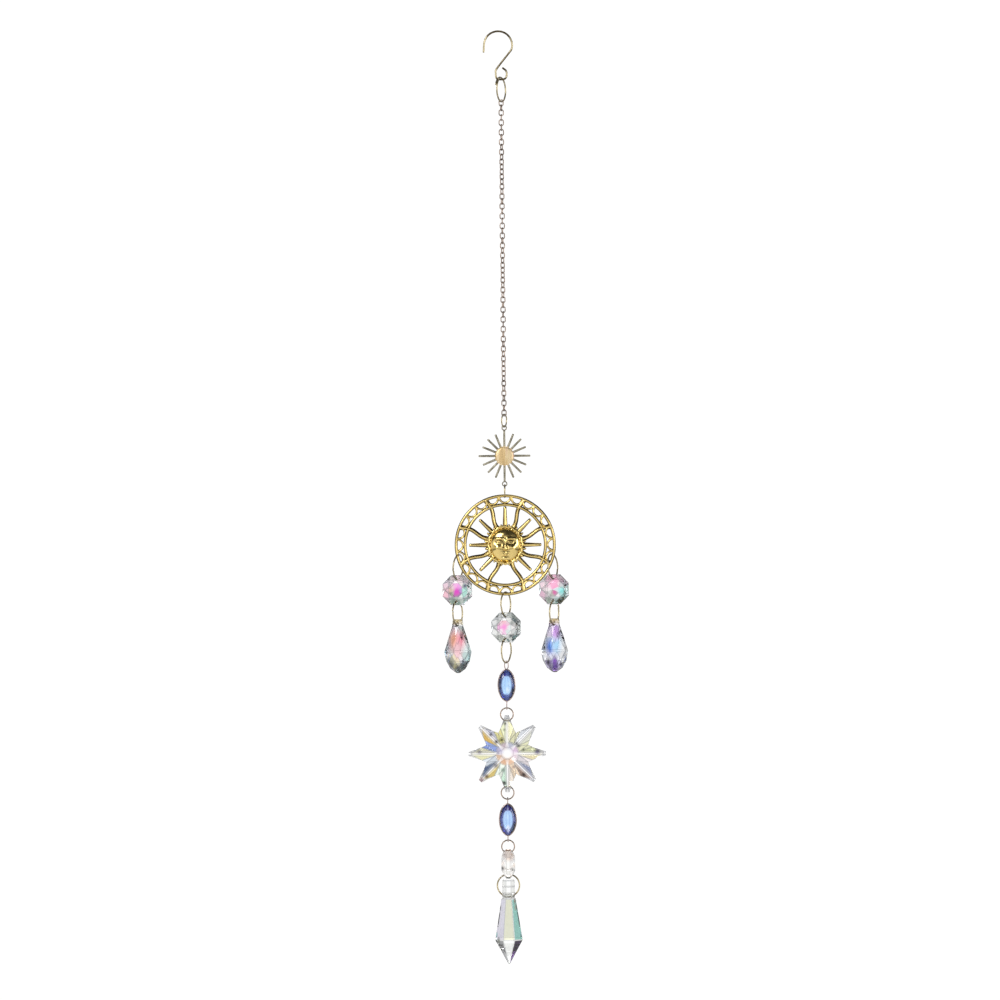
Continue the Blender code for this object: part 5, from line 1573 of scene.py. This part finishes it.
class SUNCATCHER_OT_stage(bpy.types.Operator):
    """Adds the camera, the soft lights and the pale floor"""

    bl_idname = "suncatcher.stage"
    bl_label = "Stage"

    def execute(self, context):
        make_stage()
        return {"FINISHED"}


class SUNCATCHER_OT_hook(bpy.types.Operator):
    """Makes the bent wire hook"""

    bl_idname = "suncatcher.hook"
    bl_label = "Hook"

    def execute(self, context):
        make_hook()
        return {"FINISHED"}


class SUNCATCHER_OT_rings(bpy.types.Operator):
    """Makes every jump ring"""

    bl_idname = "suncatcher.rings"
    bl_label = "Jump Rings"

    def execute(self, context):
        make_rings()
        return {"FINISHED"}


class SUNCATCHER_OT_chain(bpy.types.Operator):
    """Makes the fine chain"""

    bl_idname = "suncatcher.chain"
    bl_label = "Chain"

    def execute(self, context):
        make_chain()
        return {"FINISHED"}


class SUNCATCHER_OT_charm(bpy.types.Operator):
    """Makes the flat sun charm"""

    bl_idname = "suncatcher.charm"
    bl_label = "Sun Charm"

    def execute(self, context):
        make_charm()
        return {"FINISHED"}


class SUNCATCHER_OT_medallion(bpy.types.Operator):
    """Makes the cast sun medallion"""

    bl_idname = "suncatcher.medallion"
    bl_label = "Sun Medallion"

    def execute(self, context):
        make_medallion()
        return {"FINISHED"}


class SUNCATCHER_OT_beads(bpy.types.Operator):
    """Makes the four octagon beads"""

    bl_idname = "suncatcher.beads"
    bl_label = "Octagon Beads"

    def execute(self, context):
        make_beads()
        return {"FINISHED"}


class SUNCATCHER_OT_teardrops(bpy.types.Operator):
    """Makes the two teardrops"""

    bl_idname = "suncatcher.teardrops"
    bl_label = "Teardrops"

    def execute(self, context):
        make_teardrops()
        return {"FINISHED"}


class SUNCATCHER_OT_stones(bpy.types.Operator):
    """Makes the blue stones and their settings"""

    bl_idname = "suncatcher.stones"
    bl_label = "Blue Stones"

    def execute(self, context):
        make_stones()
        return {"FINISHED"}


class SUNCATCHER_OT_star(bpy.types.Operator):
    """Makes the cut-glass star"""

    bl_idname = "suncatcher.star"
    bl_label = "Glass Star"

    def execute(self, context):
        make_star()
        return {"FINISHED"}


class SUNCATCHER_OT_prism(bpy.types.Operator):
    """Makes the long glass point"""

    bl_idname = "suncatcher.prism"
    bl_label = "Long Prism"

    def execute(self, context):
        make_prism()
        return {"FINISHED"}


OPERATORS = (SUNCATCHER_OT_stage, SUNCATCHER_OT_hook, SUNCATCHER_OT_rings, SUNCATCHER_OT_chain,
             SUNCATCHER_OT_charm, SUNCATCHER_OT_medallion, SUNCATCHER_OT_beads, SUNCATCHER_OT_teardrops,
             SUNCATCHER_OT_stones, SUNCATCHER_OT_star, SUNCATCHER_OT_prism)
GROUPS = {"suncatcher_metal": SuncatcherMetal, "suncatcher_medallion": SuncatcherMedallion,
          "suncatcher_glass": SuncatcherGlass, "suncatcher_stage": SuncatcherStage}


class SUNCATCHER_PT_panel(bpy.types.Panel):
    """Lists the suncatcher's settings and operators"""

    bl_idname = "SUNCATCHER_PT_panel"
    bl_label = "Crystal Suncatcher"
    bl_space_type = "VIEW_3D"
    bl_region_type = "UI"
    bl_category = "Suncatcher"

    def draw(self, context):
        for operator in OPERATORS:
            self.layout.operator(operator.bl_idname)
        for name, group in GROUPS.items():
            box = self.layout.box()
            for key in group.__annotations__:
                box.prop(getattr(context.scene, name), key)


def register():
    for group in GROUPS.values():
        bpy.utils.register_class(group)
    for name, group in GROUPS.items():
        setattr(bpy.types.Scene, name, PointerProperty(type=group))
    for item in (*OPERATORS, SUNCATCHER_PT_panel):
        bpy.utils.register_class(item)


def unregister():
    for item in reversed((*OPERATORS, SUNCATCHER_PT_panel)):
        bpy.utils.unregister_class(item)
    for name in GROUPS:
        delattr(bpy.types.Scene, name)
    for group in reversed(list(GROUPS.values())):
        bpy.utils.unregister_class(group)


def main():
    """Makes the whole ornament on its stage."""
    register()
    bpy.ops.suncatcher.stage()
    bpy.ops.suncatcher.hook()
    bpy.ops.suncatcher.rings()
    bpy.ops.suncatcher.chain()
    bpy.ops.suncatcher.charm()
    bpy.ops.suncatcher.medallion()
    bpy.ops.suncatcher.beads()
    bpy.ops.suncatcher.teardrops()
    bpy.ops.suncatcher.stones()
    bpy.ops.suncatcher.star()
    bpy.ops.suncatcher.prism()


if __name__ == "__main__":
    main()
